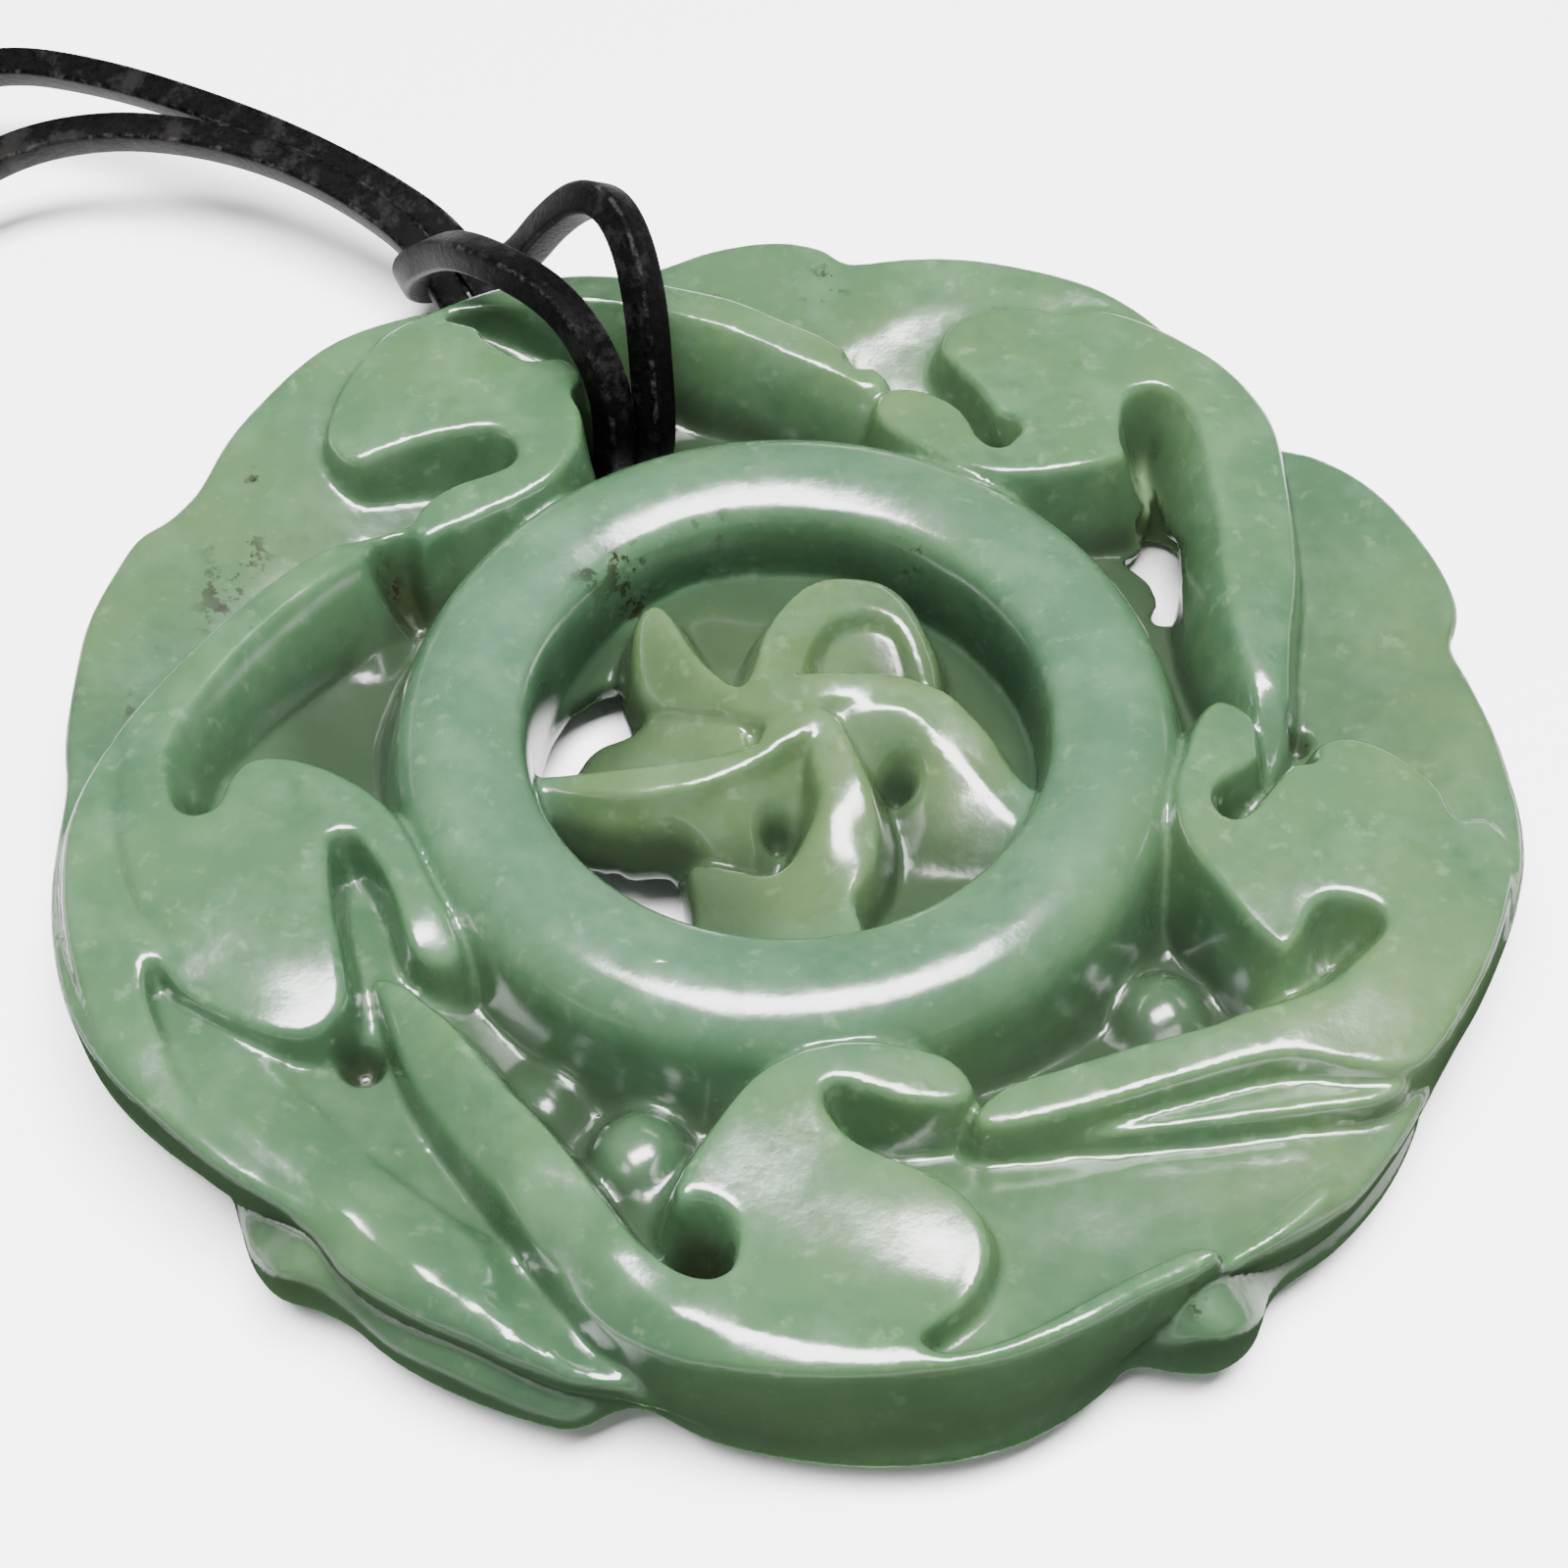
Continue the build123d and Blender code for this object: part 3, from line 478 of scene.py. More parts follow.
# Sunk blades between the arms, and a shelf low on the ring's wall
BLADES = [
    ([(-12.2, 0.4), (-11, 1), (-10.6, 1.8), (-10, 3.2), (-9.2, 4.5), (-8.2, 5.3), (-7.1, 5.8), (-6, 6.4),
      (-5.6, 8.4), (-7.4, 9.6), (-9.4, 7.8), (-11, 5.6), (-12, 3)],
     [(-11.4, 2.6, 4.4), (-10.6, 5.2, 4.6), (-9.2, 7.2, 4.6), (-7.4, 8.8, 4.4), (-10.5, 2.6, 3),
      (-9.4, 4.8, 3), (-8, 6, 3), (-6.4, 6.8, 3.2)]),
    ([(-9.5, -0.8), (-8.9, 0.3), (-8.2, 0.9), (-7, 1.2), (-6.5, 1.8), (-6.3, 2.6), (-4.6, 2.2),
      (-2.6, 0.6), (-1.6, -0.8), (-2, -2.4), (-4, -2.6), (-7, -2.6), (-11, -2.6), (-11, -1.6)],
     [(-10, -1.6, 5), (-8.6, -1, 5.2), (-7, 0.2, 5.5), (-6, 0.8, 5.8), (-4.4, 0.4, 6.4), (-3, -0.4, 7.2),
      (-6, -1.6, 6), (-8, -2, 5.6)]),
    ([(0.6, 1.5), (1, 3.5), (1.8, 5.6), (3.4, 6.9), (5, 6.6), (5.8, 5.2), (6.5, 3.8), (6.8, 1.6),
      (3, 1.2)],
     [(1.4, 4.2, 6.6), (2.4, 5.6, 6.4), (3.8, 6.1, 6.1), (5, 5.4, 5.7), (5.8, 4.4, 5.3), (2.2, 3.4, 6),
      (3.6, 3.8, 5.6), (4.8, 3.6, 5.3), (3, 2.4, 5.6), (5, 2.6, 5.1)]),
    ([(1.4, 0.4), (4, 0.8), (5.7, 0.4), (7, -0.8), (8.4, -2.2), (9.6, -3.6), (11.4, -5), (11.4, -7),
      (8.8, -9.4), (6, -10.8), (2.6, -11.6), (2.4, -9), (2.6, -7.2), (2.9, -4.7), (2.4, -2.6),
      (1.4, -0.6)],
     [(2.6, -0.2, 7.7), (4, -0.3, 7.7), (5.6, -0.8, 7.4), (7, -2.2, 6.9), (8.2, -3.6, 6.5), (9.2, -5, 6),
      (6.6, -3.6, 6.1), (7.6, -4.8, 5.7), (5.8, -4.6, 5.3), (4.2, -1.9, 5.8), (4.4, -3.4, 4.9),
      (5.4, -2.9, 5.9), (5, -5.8, 4.4), (6.6, -6.2, 4.6), (4.6, -7.4, 4.4), (8.6, -6.4, 5), (6.2, -9, 4.9),
      (3.8, -10.2, 4.6)]),
    ([(1, -1.4), (-0.8, -2.2), (-3.6, -3.4), (-6.6, -3.5), (-11, -2.8), (-11, -4.2), (-9.8, -3.9),
      (-8.4, -4.5), (-7.5, -4.8), (-5.8, -4.8), (-4.4, -5), (-2.4, -7), (0.4, -7), (1.6, -5.2), (1.4, -3)],
     [(0.3, -2.8, 7), (-1.4, -3.6, 7.2), (-3.4, -4.2, 6.9), (-5.4, -4.3, 6.7), (-7.4, -4, 6.3),
      (-9.4, -3.6, 5.9), (-8.2, -4.6, 5.6), (-6.4, -4.8, 5.8), (-4.6, -5, 5.9), (-2.6, -5.4, 5.8),
      (0.2, -4.2, 5.6), (-0.4, -5.2, 5), (-1.6, -5.2, 5.8)]),
    ([(-8.4, 8.2), (-6.4, 10), (-3.4, 11.4), (0, 11.8), (3.4, 11.4), (2.4, 9.6), (1, 8), (-0.9, 6.6),
      (-0.2, 5), (0, 3), (-1, 1.2), (-3, 1.6), (-5, 4), (-6.8, 6.6)],
     [(-5.6, 8.6, 4.6), (-4.4, 8.6, 5), (-3.4, 7.6, 5.2), (-2.2, 6.2, 5.3), (-1.4, 4.6, 5.2),
      (-1.8, 3, 5.6), (-4.6, 6.4, 4.8), (-1.4, 9.4, 4.7), (1.4, 10, 4.5), (-4.4, 10.4, 4.6)]),
    ([(2.4, 9.8), (3.4, 11.2), (6.4, 10), (8.8, 7.8), (10.6, 5), (11.6, 2), (11.8, -2.5), (9.6, -1.5),
      (8.2, 0.4), (6.6, 1.4), (6.2, 3.6), (5.8, 5.8), (4.4, 8)],
     [(7.4, 6.6, 3.6), (8.4, 4.6, 3.8), (9.4, 2.2, 4.1), (10.2, 0, 4.4), (7.4, 3, 4.6), (8.8, 0.8, 4.9),
      (4.6, 9.4, 3.2), (10.4, 3, 3.6)]),
]
FLOWER_PITS = [(4.8, -2, 0.8, 2.4), (-0.5, -4.5, 0.7, 2)]

# Height of the shown face, and of the back under it
BACK = [(2.4, 1.1), (3.2, 1.7), (3.9, 2.2), (4.9, 2.6), (6.3, 1.9), (8.0, 1.15), (9.0, 0.95)]

# Channel in the back for the two strands that pass under the rim: x, y
CHANNEL = [(-8.5, 19.6), (-13.0, 26.3), (-17.4, 32.8)]
CHANNEL_HALF_WIDTH, CHANNEL_SLOPE, CHANNEL_DEPTH = 2.65, 3, 2.35

# The slanting opening leans right and back by these shares of its depth under its outline's
# height; its far wall stands straight between the last two heights
SLANT = (0.14, 0.72)
SLANT_TOP, WALL_TOP, WALL_FOOT = 8.5, 4.4, 0.6

# Rim: the upper half starts above the lower one and takes over in a short rise
TIER_START, TIER_RISE = 3.3, 1.1
# where the rim's lower half stands higher: angle, extra height, half width
LOBES = [(301, 2.2, 4.5), (233, 1.5, 4.0), (246, 0.8, 6.0)]
# crease between the halves, and the near stretch without it: angle, half width, ease
CREASE_DEPTH, CREASE_LIFT, CREASE_HALF_WIDTH = 0.28, 0.6, 0.55
NO_CREASE = (275, 14, 6)
# roundings at the bottom and the top: depth, height where they start, length downwards
ROUNDINGS = [(0.5, 1.6, 1.6), (0.35, 6.5, -2)]

# Near wall, which falls without a ledge: angle, half width, ease, radius, fall
NEAR_WALL = (278, 20, 5, 29.4, 3)
# Slope of the scrolls' sides, and of a stem's inner side within a reach
SCROLL_SLOPE, STEM_SLOPE, STEM_REACH = 4.0, 1.6, 2.4

GRID = np.arange(-33.5, 33.5 + STEP / 2, STEP)
LEVELS = np.arange(-0.5, 9.6, STEP)
X, Y = np.meshgrid(GRID, GRID, indexing="ij")
RADIUS = np.hypot(X, Y)
ANGLE = np.degrees(np.arctan2(Y, X)) % 360


def spot(turn, radius):
    """x and y at an angle in degrees and a radius."""
    return radius * cos(radians(turn)), radius * sin(radians(turn))


def on_disc(table):
    """Rows of (angle, radius, ...) as x, y, ..."""
    rows = np.array(table, float)
    turn = np.radians(rows[:, 0])
    flat = rows[:, 1] * np.array([np.cos(turn), np.sin(turn)])
    return np.hstack([flat.T, rows[:, 2:]])


def smooth_line(points, closed, steps=6):
    """A Catmull-Rom line through the points."""
    row = np.array(points, float)
    if closed:
        row = np.vstack([row[-1], row, row[:2]])
    else:
        row = np.vstack([2 * row[0] - row[1], row, 2 * row[-1] - row[-2]])
    line = []
    for a, b, c, d in zip(row, row[1:], row[2:], row[3:]):
        for t in np.arange(steps) / steps:
            place = 2 * b + (c - a) * t + (2 * a - 5 * b + 4 * c - d) * t**2
            line.append(0.5 * (place + (3 * b - a - 3 * c + d) * t**3))
    if not closed:
        line.append(row[-2])
    return np.array(line)


def line_distance(line, closed=False):
    """Distance from each grid point to a line."""
    nearest = np.full(X.shape, 1e9)
    following = np.roll(line, -1, 0) if closed else line[1:]
    for (x0, y0), (x1, y1) in zip(line, following):
        dx, dy = x1 - x0, y1 - y0
        along = np.clip(((X - x0) * dx + (Y - y0) * dy) / max(dx * dx + dy * dy, 1e-9), 0, 1)
        nearest = np.minimum(nearest, (X - x0 - along * dx) ** 2 + (Y - y0 - along * dy) ** 2)
    return np.sqrt(nearest)


def inside_distance(outline):
    """Distance to a closed outline, positive inside it."""
    inside = np.zeros(X.shape, bool)
    for (x0, y0), (x1, y1) in zip(outline, np.roll(outline, -1, 0)):
        if y0 != y1:
            inside ^= ((y0 > Y) != (y1 > Y)) & (X < x0 + (Y - y0) * (x1 - x0) / (y1 - y0))
    return np.where(inside, 1, -1) * line_distance(outline, closed=True)


def thin_plate(heights, stiffness=2.0):
    """A smooth surface near a few heights."""
    places, level = heights[:, :2], heights[:, 2]

    def bend(square):
        return square * np.log(square + 1e-9)

    gaps = ((places[:, None] - places[None]) ** 2).sum(-1)
    flat = np.hstack([np.ones((len(places), 1)), places])
    system = np.block([[bend(gaps) + stiffness * np.eye(len(places)), flat], [flat.T, np.zeros((3, 3))]])
    weights = np.linalg.solve(system, np.concatenate([level, np.zeros(3)]))
    surface = weights[-3] + weights[-2] * X + weights[-1] * Y
    for (x, y), weight in zip(places, weights):
        surface = surface + weight * bend((X - x) ** 2 + (Y - y) ** 2)
    return surface


def smooth_max(a, b, reach):
    """The higher of two values, with the corner between them rounded."""
    share = np.clip(0.5 + 0.5 * (a - b) / reach, 0, 1)
    return b + (a - b) * share + reach * share * (1 - share)


def smooth_min(a, b, reach):
    """The lower of two values, with the corner between them rounded."""
    return -smooth_max(-a, -b, reach)


def raised(face, inside, edge, slope):
    """A raised form's height: its face, a rounded edge, then a sloping wall."""
    steepest = slope / np.sqrt(1 + slope**2)
    turned = (edge - inside) / edge
    rounded = np.clip(turned, 0, steepest)
    fall = edge * (1 - np.sqrt(1 - rounded**2)) + edge * slope * np.maximum(turned - steepest, 0)
    return face - fall


def around(table):
    """A radius at every angle, from rows of (angle, radius)."""
    rows = np.array(table, float)
    turns = np.concatenate([rows[:, 0] - 360, rows[:, 0], rows[:, 0] + 360])
    line = smooth_line(np.stack([turns, np.tile(rows[:, 1], 3)], axis=1), closed=False)
    return np.interp(ANGLE, line[:, 0], line[:, 1])


def blurred(surface, reach):
    """Each height averaged with its neighbours, as polishing does."""
    steps = np.arange(-5, 6)
    weights = np.exp(-0.5 * (steps * STEP / reach) ** 2)
    weights /= weights.sum()
    for direction in (0, 1):
        surface = sum(w * np.roll(surface, s, direction) for w, s in zip(weights, steps))
    return surface


def facet(points, width, slope, ease, lift=0.0):
    """A strip that falls outwards from a line of (angle, radius)."""
    turns, radii = np.array(points, float).T
    share = np.clip(np.minimum(ANGLE - turns[0], turns[-1] - ANGLE) / ease, 0, 1)
    beyond = np.clip(RADIUS - np.interp(ANGLE, turns, radii), 0, width)
    return share * (lift * width - slope * beyond)


def carved_face():
    """Height of the shown face outside the middle hole."""
    surface = thin_plate(on_disc(LEAF_HEIGHTS))
    for points, width, slope in FACETS:
        surface = surface + facet(points, width, slope, ease=3, lift=0.25) * (RADIUS > 26)
    turn, half_width, ease, edge, fall = NEAR_WALL
    share = np.clip((half_width - np.abs(ANGLE - turn)) / ease, 0, 1)
    surface = surface - fall * share * np.clip(RADIUS - edge, 0, 1)
    for (outline, heights), gentle in zip(SCROLLS, STEM_SLOPES):
        inside = inside_distance(smooth_line(on_disc(outline), closed=True, steps=4))
        slope = SCROLL_SLOPE
        if gentle:
            away = line_distance(smooth_line(on_disc(gentle), closed=False))
            slope = slope - (slope - STEM_SLOPE) * np.exp(-((away / STEM_REACH) ** 2))
        face = np.clip(thin_plate(on_disc(heights)), 4.5, 8.95)
        surface = smooth_max(surface, raised(face, inside, edge=0.35, slope=slope), 0.2)
    for points, width, slope in CRESTS:
        surface = surface + facet(points, width, slope, ease=4)
    for points, height, width in LINES:
        away = line_distance(smooth_line(on_disc(points), closed=False))
        surface = surface + height * np.exp(-((away / width) ** 2))
    for turn, radius, mouth, depth in PITS:
        x, y = spot(turn, radius)
        surface = surface - depth * np.exp(-((np.hypot(X - x, Y - y) / mouth) ** 4))
    return blurred(smooth_max(surface, ring, 0.4), 0.12)


def with_forms(surface, forms, limits, edge, slope):
    """A surface joined with raised forms."""
    for outline, heights in forms:
        inside = inside_distance(smooth_line(outline, closed=True))
        face = np.clip(thin_plate(np.array(heights)), *limits)
        surface = smooth_max(surface, raised(face, inside, edge, slope), 0.3)
    return surface


def flower_faces():
    """Heights of the flower's upper and lower side."""
    upper = np.full(X.shape, -3.0)
    upper = with_forms(upper, BLADES, limits=(3.2, 8.6), edge=0.8, slope=2.5)
    upper = with_forms(upper, ARMS, limits=(4, 8.75), edge=0.45, slope=3.0)
    for x, y, mouth, depth in FLOWER_PITS:
        upper = upper - depth * np.exp(-((np.hypot(X - x, Y - y) / mouth) ** 2) * 1.8)
    upper = blurred(upper, 0.14)
    lower = np.where(upper > 2.6, np.minimum(TOP_OF_WORK - 0.92 * upper, upper - 1.6), TOP_OF_WORK)
    return upper, blurred(lower, 0.3)


def slanted(z):
    """Distance outside the slanting opening at one height."""
    shift = tuple(round(lean * (SLANT_TOP - z) / STEP) for lean in SLANT)
    return np.roll(slanting, shift, (0, 1))


def back_face():
    """Height of the stone's back outside the middle hole."""
    fronts, backs = np.array(BACK).T
    surface = smooth_min(blurred(np.interp(front, fronts, backs), 0.4), TOP_OF_WORK - ring, 0.5)
    in_channel = CHANNEL_HALF_WIDTH - line_distance(np.array(CHANNEL))
    floor = np.clip(in_channel * CHANNEL_SLOPE, -3, CHANNEL_DEPTH)
    surface = np.where(RADIUS > 16, smooth_max(surface, floor, 0.3), surface)
    # the slanting opening's far wall reaches lower
    return np.minimum(surface, WALL_FOOT + 1.5 * np.maximum(slanted(1.0) - 1.0, 0))


def steepness(surface):
    """Distance to a surface along Z, over the distance square to it."""
    across, along = np.gradient(surface, STEP)
    return np.sqrt(1 + np.minimum(across**2 + along**2, 30))


def rim_radius(z):
    """The rim's radius at one height, for every angle."""
    tier = np.clip((z - tier_start) / TIER_RISE, 0, 1)
    tier = tier * tier * (3 - 2 * tier)
    reach = lower_edge + (upper_edge - lower_edge) * tier
    reach = reach - crease * np.exp(-(((z - tier_start - CREASE_LIFT) / CREASE_HALF_WIDTH) ** 2))
    for depth, start, length in ROUNDINGS:
        reach = reach - depth * np.maximum(0, (start - z) / length) ** 2
    return reach


def stone_at(z):
    """How deep each grid point lies inside the stone at one height."""
    body = smooth_min((front - z) / front_steepness, (z - back) / back_steepness, 0.3)
    body = smooth_min(body, rim_radius(z) - RADIUS, 0.7)
    body = smooth_min(body, RADIUS - HOLE_RADIUS - 0.02 * (z - TOP_OF_WORK / 2) ** 2, 0.8)
    for turn, radius, height, size in BEADS:
        x, y = spot(turn, radius)
        away = np.sqrt((X - x) ** 2 + (Y - y) ** 2 + (1.1 * (z - height)) ** 2)
        body = smooth_max(body, size - away, 0.9)
    body = smooth_min(body, slanted(z), 0.3)
    if WALL_FOOT < z < WALL_TOP:
        body = smooth_min(body, slanted(WALL_FOOT), 0.3)
    body = smooth_min(body, lace_hole, 0.5)
    flower = smooth_min((petals - z) / petal_steepness, (z - under_petals) / under_steepness, 0.5)
    flower = np.minimum(flower, HOLE_RADIUS + 0.8 - RADIUS)
    return smooth_max(body, flower, 0.35)


ring_line = smooth_line(RING, closed=False)
ring = np.interp(RADIUS, ring_line[:, 0], ring_line[:, 1], right=-4)
front = carved_face()
slanting = -inside_distance(smooth_line(on_disc(SLANTING), closed=True))
lace_hole = -inside_distance(smooth_line(on_disc(LACE_OPENING), closed=True))
back = back_face()
petals, under_petals = flower_faces()
front_steepness, back_steepness = steepness(front), steepness(back)
petal_steepness, under_steepness = steepness(petals), steepness(under_petals)

upper_edge, lower_edge = around(UPPER_EDGE), around(LOWER_EDGE)
lifts = (lift * np.exp(-(((ANGLE - turn) / width) ** 2)) for turn, lift, width in LOBES)
tier_start = TIER_START + sum(lifts)
turn, half_width, ease = NO_CREASE
crease = CREASE_DEPTH * np.clip((np.abs(ANGLE - turn) - half_width) / ease, 0, 1)

stone = np.empty((*X.shape, len(LEVELS)), np.float32)
for i, z in enumerate(LEVELS):
    stone[:, :, i] = stone_at(z)


def surface_net(field, origin, step):
    """The closed surface where a field on a grid passes through zero, as points and quads."""
    size = np.array(field.shape)
    total = np.zeros((*(size - 1), 3), np.float32)
    count = np.zeros(size - 1, np.float32)
    crossings = []
    for axis in range(3):
        ahead = np.roll(field, -1, axis)
        places = np.argwhere((field > 0) != (ahead > 0))
        places = places[((places > 0) & (places < size - 1)).all(1)]
        start, stop = field[tuple(places.T)], ahead[tuple(places.T)]
        points = places.astype(np.float32)
        points[:, axis] += start / (start - stop)
        u, v = (axis + 1) % 3, (axis + 2) % 3
        cells = []
        for du, dv in ((0, 0), (1, 0), (1, 1), (0, 1)):
            cell = places.copy()
            cell[:, u] -= du
            cell[:, v] -= dv
            np.add.at(total, tuple(cell.T), points)
            np.add.at(count, tuple(cell.T), 1)
            cells.append(cell)
        crossings.append((cells, start > 0))
    used = count > 0
    number = np.full(count.shape, -1)
    number[used] = np.arange(used.sum())
    vertices = total[used] / count[used][:, None]
    quads = []
    for cells, outward in crossings:
        quad = np.stack([number[tuple(cell.T)] for cell in cells], axis=1)
        quad[~outward] = quad[~outward][:, ::-1]
        quads.append(quad)
    return vertices * step + np.array(origin), np.concatenate(quads)


MOST_FACES = 190000

vertices, quads = surface_net(stone, (GRID[0], GRID[0], LEVELS[0]), STEP)
carving = mesh_object("carving", vertices * MM, quads)
thinned = carving.modifiers.new("thinned", "DECIMATE")
thinned.ratio = min(1.0, MOST_FACES / (2 * len(quads)))
levelled = carving.modifiers.new("levelled", "WEIGHTED_NORMAL")
levelled.mode = "FACE_AREA"
evaluated = carving.evaluated_get(bpy.context.evaluated_depsgraph_get())
jade_mesh = bpy.data.meshes.new_from_object(evaluated)
jade = linked("carved_jade", jade_mesh)
bpy.data.objects.remove(carving)
jade_mesh.polygons.foreach_set("use_smooth", [True] * len(jade_mesh.polygons))
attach(jade, "root")
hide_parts("jade_disc")


# Marks on the meshes for the materials
# Dark specks: angle, radius, reach
SPECKS = [
    (157, 27.2, 1.6), (161, 27, 1.7), (164, 26.6, 1.2), (149, 29, 0.7), (168, 29, 0.6), (177, 28.8, 0.6),
    (86, 28.7, 1.5), (97, 28, 1), (87, 18.8, 0.5), (153, 24.8, 0.8), (152, 20.6, 0.7), (130, 11.6, 1.6),
    (138, 12.2, 1.2), (108, 12, 1), (60, 11.6, 0.8), (356, 20.6, 0.5), (300, 30.6, 0.5), (318, 22.5, 0.4),
    (8, 22.9, 0.5),
]
# a glow of light shining through this wall is painted on it
THIN_WALL = (18, 16.5)    # x and y of the slanting opening's far wall, which light shines through


def point_values(piece, name, values):
    """A number on each vertex, under a name."""
    layer = piece.data.attributes.new(name, "FLOAT", "POINT")
    layer.data.foreach_set("value", np.asarray(values, np.float32))


def vertex_table(piece, kind):
    """Each vertex's place or normal, as rows of three."""
    values = np.empty(len(piece.data.vertices) * 3, np.float32)
    piece.data.vertices.foreach_get(kind, values)
    return values.reshape(-1, 3)


def fade(values, full, none):
    """1 where values reach full, 0 where they reach none, and straight between."""
    return np.clip((values - none) / (full - none), 0, 1)


def mark_jade():
    """Where the stone is specked, bluish or dull, where shade is painted on sunk and steep parts, and
    where a glow is painted on the thin wall.
    """
    x, y, z = (vertex_table(jade, "co") / MM).T
    radius = np.hypot(x, y)

    def away_from(*place):
        place_x, place_y = spot(*place)
        return np.hypot(x - place_x, y - place_y)

    speck, pit_shade = np.zeros((2, len(x)))
    for *place, reach in SPECKS:
        speck = np.maximum(speck, fade(away_from(*place) / reach, 0.2, 1.2))
    # shade painted in the drilled pits
    for *place, mouth, depth in PITS:
        pit_shade = np.maximum(pit_shade, fade(away_from(*place) / mouth, 0.5, 1.5) * min(1, depth / 2))
    # how steep each face is; steep faces get painted shade
    wall = np.clip(1.1 - 1.3 * np.abs(vertex_table(jade, "normal")[:, 2]), 0, 1)
    at_rim = fade(radius, 29.5, 28.5)
    pocket = fade(z, 4.0, 5.2) * (radius < 28)
    ring_pocket = pocket * (radius > 16.5)
    blade = fade(z, 5.2, 6.2) * fade(radius, 10.7, 11.0)
    # painted glow where light shines through the slanting opening's thin far wall
    glow_through = fade(np.hypot(x - THIN_WALL[0], y - THIN_WALL[1]), 1.44, 3.24) * fade(z, 4.2, 5.0)
    inner_wall = fade(radius, 11.2, 11.7) * fade(radius, 10.2, 9.6) * fade(z, 6.6, 7.4) * fade(y, 4, 2)
    outer_wall = np.clip(1.5 * wall, 0, 1) * at_rim
    # painted shade on the rim's steep outer walls, lighter towards the bottom
    painted_shade = wall * at_rim * (1 - 0.7 * fade(z, 1.0, 4.5))
    # painted shade in the ring's pockets and on the sunk blades, left off the thin wall
    shaded = np.maximum(0.8 * ring_pocket, 0.6 * blade) * (1 - glow_through)
    marks = {
        "speck": speck,
        "bluish": fade(np.abs(radius - 13.6), 0, 5),
        "flower": fade(radius, 9.1, 10.6),
        # painted shade: darker the deeper the face lies, and more in the ring's pockets and on the sunk
        # blades
        "recess_shade": fade(z, 3.8, 7.6) + 0.45 * ring_pocket + 0.5 * blade,
        # painted shade on steep walls
        "wall": wall,
        "painted_shade": np.maximum(painted_shade, shaded),
        # painted shade in the deep part of the drilled pits
        "pit_shade": pit_shade * fade(z, 5.9, 7.4),
        "glow_through": glow_through,
        "dull": np.maximum.reduce([inner_wall, 0.5 * pocket, outer_wall, glow_through, 0.75 * blade]),
    }
    for name, values in marks.items():
        point_values(jade, name, values)


def mark_lace():
    """How near the lace's points are to its edges, and how far they face up."""
    point_values(lace, "edge", np.tile(lace_edge, len(route_line)))
    for piece in (knot, core):
        point_values(piece, "edge", np.full(len(piece.data.vertices), 0.5))
    for piece in (lace, knot, core):
        point_values(piece, "upper", np.clip(vertex_table(piece, "normal")[:, 2], 0, 1))


# Materials
class Nodes:
    """Short calls for a material's nodes."""

    def __init__(self, name):
        self.material = bpy.data.materials.new(name)
        self.material.use_nodes = True
        self.tree = self.material.node_tree
        self.shader = self.tree.nodes["Principled BSDF"]

    def add(self, kind, settings=None, **inputs):
        node = self.tree.nodes.new(kind)
        for key, value in (settings or {}).items():
            setattr(node, key, value)
        for socket, value in inputs.items():
            self.feed(node, socket, value)
        return node

    def feed(self, node, socket, value):
        if isinstance(value, bpy.types.NodeSocket):
            self.tree.links.new(value, node.inputs[socket])
        else:
            node.inputs[socket].default_value = value

    def look(self, **inputs):
        """Values or links for the shader's sockets, with _ for a space in their names."""
        for socket, value in inputs.items():
            self.feed(self.shader, socket.replace("_", " "), value)

    def noise(self, scale, detail=4.0, roughness=0.5):
        place = self.add("ShaderNodeTexCoord").outputs["Object"]
        inputs = {"Scale": scale, "Detail": detail, "Roughness": roughness, "Vector": place}
        return self.add("ShaderNodeTexNoise", **inputs).outputs["Fac"]

    def ramp(self, value, stops):
        node = self.add("ShaderNodeValToRGB", Fac=value)
        while len(node.color_ramp.elements) < len(stops):
            node.color_ramp.elements.new(0.5)
        for element, (place, colour) in zip(node.color_ramp.elements, stops):
            element.position = place
            element.color = (*colour, 1) if hasattr(colour, "__len__") else (colour,) * 3 + (1,)
        return node.outputs["Color"]

    def patches(self, noise, start, full, most=1.0):
        """A share that grows to its most between two values of a noise."""
        return self.ramp(self.noise(*noise), [(start, 0.0), (full, most)])

    def mix(self, share, a, b):
        node = self.add("ShaderNodeMix", {"data_type": "RGBA"})
        for socket, value in ((0, share), (6, a), (7, b)):
            if isinstance(value, tuple):
                value = (*value, 1)
            self.feed(node, socket, value)
        return node.outputs[2]

    def maths(self, operation, a, b):
        node = self.add("ShaderNodeMath", {"operation": operation})
        self.feed(node, 0, a)
        self.feed(node, 1, b)
        return node.outputs[0]

    def times(self, a, b):
        return self.maths("MULTIPLY", a, b)

    def plus(self, a, b):
        return self.maths("ADD", a, b)

    def mark(self, name, share=None):
        """A mark on the mesh, or a share of it."""
        value = self.add("ShaderNodeAttribute", {"attribute_name": name}).outputs["Fac"]
        return value if share is None else self.times(value, share)

    def bump(self, height, strength, distance):
        inputs = {"Strength": strength, "Distance": distance, "Height": height}
        return self.add("ShaderNodeBump", **inputs).outputs["Normal"]

    def dress(self, *pieces):
        """Give the material to some pieces."""
        for piece in pieces:
            piece.data.materials.clear()
            piece.data.materials.append(self.material)


# The stone's colour: plain, on the ring, and on the flower, along a noise
GREEN = [(0.30, (0.022, 0.060, 0.030)), (0.50, (0.036, 0.081, 0.036)), (0.70, (0.054, 0.095, 0.036))]
BLUE_GREEN = [(0.30, (0.022, 0.062, 0.036)), (0.70, (0.047, 0.105, 0.062))]
YELLOW_GREEN = [(0.30, (0.038, 0.066, 0.022)), (0.70, (0.068, 0.102, 0.038))]
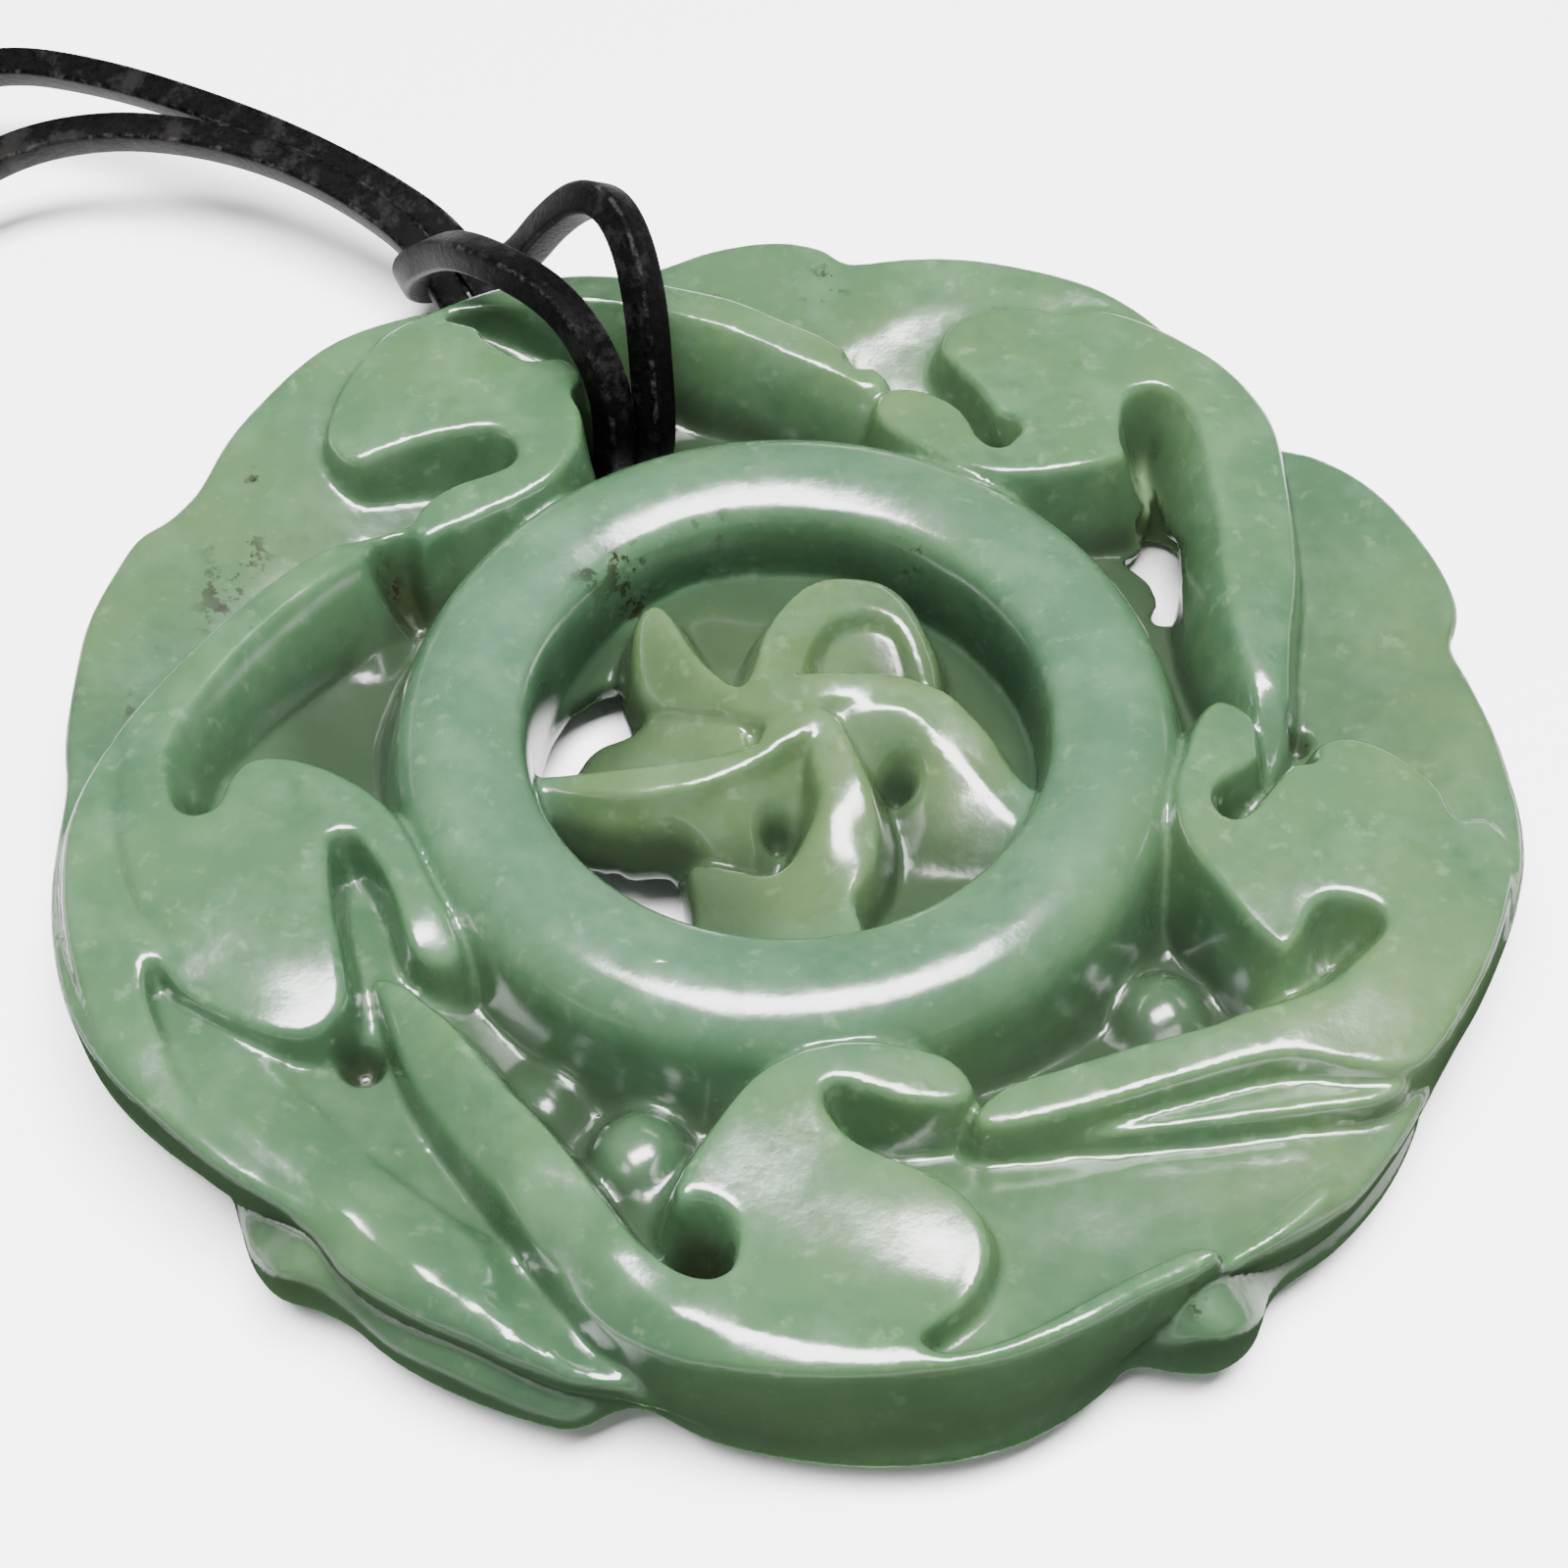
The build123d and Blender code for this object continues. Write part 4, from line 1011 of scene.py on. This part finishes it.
# clouds: a noise's scale, detail and roughness, its values where a cloud starts and is full,
# the cloud's share and its colour
CLOUDS = [
    ((85, 5, 0.65), (0.50, 0.68), 0.6, (0.012, 0.045, 0.024)),
    ((330, 4, 0.6), (0.46, 0.70), 0.3, (0.090, 0.155, 0.090)),
    ((1000, 3, 0.6), (0.60, 0.72), 0.1, (0.30, 0.40, 0.26)),
]
# painted shade and glow by the marks: mark, share, colour
SHADES = [
    # painted shade in the recesses
    ("recess_shade", 0.56, (0.016, 0.030, 0.016)),
    # painted shade on steep walls
    ("wall", 0.35, (0.016, 0.029, 0.016)),
    # painted shade on the rim's outer walls, in the pockets and on the sunk blades
    ("painted_shade", 0.75, (0.012, 0.018, 0.010)),
    # painted shade in the pits
    ("pit_shade", 0.7, (0.010, 0.013, 0.005)),
    # painted glow of light through the thin wall
    ("glow_through", 0.7, (0.065, 0.105, 0.048)),
]
SPECK_COLOUR = (0.010, 0.007, 0.004)


def dress_jade():
    """Clouded, polished green stone that light sinks into, with painted shade and a painted glow."""
    nodes = Nodes("jade")
    vein = nodes.noise(150.0, 5.0, 0.65)
    colour = nodes.ramp(nodes.noise(60.0, 4.0, 0.6), GREEN)
    colour = nodes.mix(nodes.mark("bluish", 0.75), colour, nodes.ramp(vein, BLUE_GREEN))
    colour = nodes.mix(nodes.mark("flower", 0.75), colour, nodes.ramp(vein, YELLOW_GREEN))
    for noise, reach, share, shade in CLOUDS:
        colour = nodes.mix(nodes.times(nodes.patches(noise, *reach), share), colour, shade)
    # paint shade and glow into the colour by the marks
    for name, share, shade in SHADES:
        colour = nodes.mix(nodes.mark(name, share), colour, shade)
    grain = nodes.patches((850.0, 4.0, 0.65), 0.53, 0.58)
    colour = nodes.mix(nodes.times(grain, nodes.mark("speck")), colour, SPECK_COLOUR)
    gloss = nodes.maths("MAXIMUM", nodes.plus(nodes.mark("dull", -0.5), 0.5), 0.0)
    wear = nodes.noise(700.0, 4.0, 0.6)
    ripple = nodes.plus(nodes.noise(330.0, 2.0), nodes.times(wear, 0.6))
    nodes.look(
        Base_Color=colour,
        Subsurface_Weight=0.45,
        Subsurface_Radius=(0.55, 1.0, 0.5),
        Subsurface_Scale=0.0014,
        IOR=1.61,
        Specular_IOR_Level=gloss,
        Roughness=nodes.plus(nodes.times(wear, 0.18), 0.10),
        Normal=nodes.bump(ripple, 0.09, 0.0004),
    )
    nodes.dress(jade)


def dress_lace():
    """Black leather, frayed pale along its edges and softly scuffed."""
    nodes = Nodes("black_leather")
    fibre = nodes.noise(2600.0, 5.0, 0.7)
    frayed = nodes.patches((1300.0, 5.0, 0.75), 0.50, 0.66)
    edges = nodes.ramp(nodes.mark("edge"), [(0.62, 0.0), (0.95, 1.0)])
    worn = nodes.times(nodes.times(frayed, edges), 0.6)
    scuffed = nodes.patches((420.0, 5.0, 0.7), 0.52, 0.62, 0.5)
    hide = nodes.ramp(fibre, [(0.35, (0.0008, 0.0008, 0.0009)), (0.70, (0.003, 0.0028, 0.0028))])
    hide = nodes.mix(scuffed, hide, (0.014, 0.0135, 0.013))
    sheen = nodes.times(nodes.mark("upper"), nodes.plus(fibre, -0.1))
    nodes.look(
        Base_Color=nodes.mix(worn, hide, (0.05, 0.048, 0.046)),
        Roughness=nodes.plus(nodes.times(fibre, 0.35), 0.34),
        Specular_IOR_Level=nodes.plus(sheen, 0.02),
        Normal=nodes.bump(fibre, 0.5, 0.00015),
    )
    nodes.dress(lace, knot, core)


mark_jade()
dress_jade()
mark_lace()
dress_lace()


# Table and light
TABLE_REACH = 0.7
LIGHT_PLACE = Vector((0.015, -0.03, 0.42))
LIGHT_SIZE = (0.33, 0.17)
LIGHT_POWER = 12.3
WORLD_STRENGTH = 0.38

corners = np.array([(-1, -1, 0), (1, -1, 0), (1, 1, 0), (-1, 1, 0)])
table = mesh_object("table", corners * TABLE_REACH, [(0, 1, 2, 3)])
paper = Nodes("pale_paper")
paper.look(Base_Color=paper.ramp(paper.noise(9.0, 2.0), [(0.3, 0.88), (0.7, 0.91)]), Roughness=0.6)
paper.dress(table)

light = bpy.data.lights.new("overhead", "AREA")
light.shape = "RECTANGLE"
light.size, light.size_y = LIGHT_SIZE
light.energy = LIGHT_POWER
lamp = linked("overhead", light)
lamp.location = LIGHT_PLACE
lamp.rotation_euler = (-LIGHT_PLACE).to_track_quat("-Z", "Y").to_euler()

world = bpy.data.worlds.new("studio")
world.use_nodes = True
background = world.node_tree.nodes["Background"]
background.inputs["Color"].default_value = (1.0, 1.0, 1.0, 1)
background.inputs["Strength"].default_value = WORLD_STRENGTH
bpy.context.scene.world = world
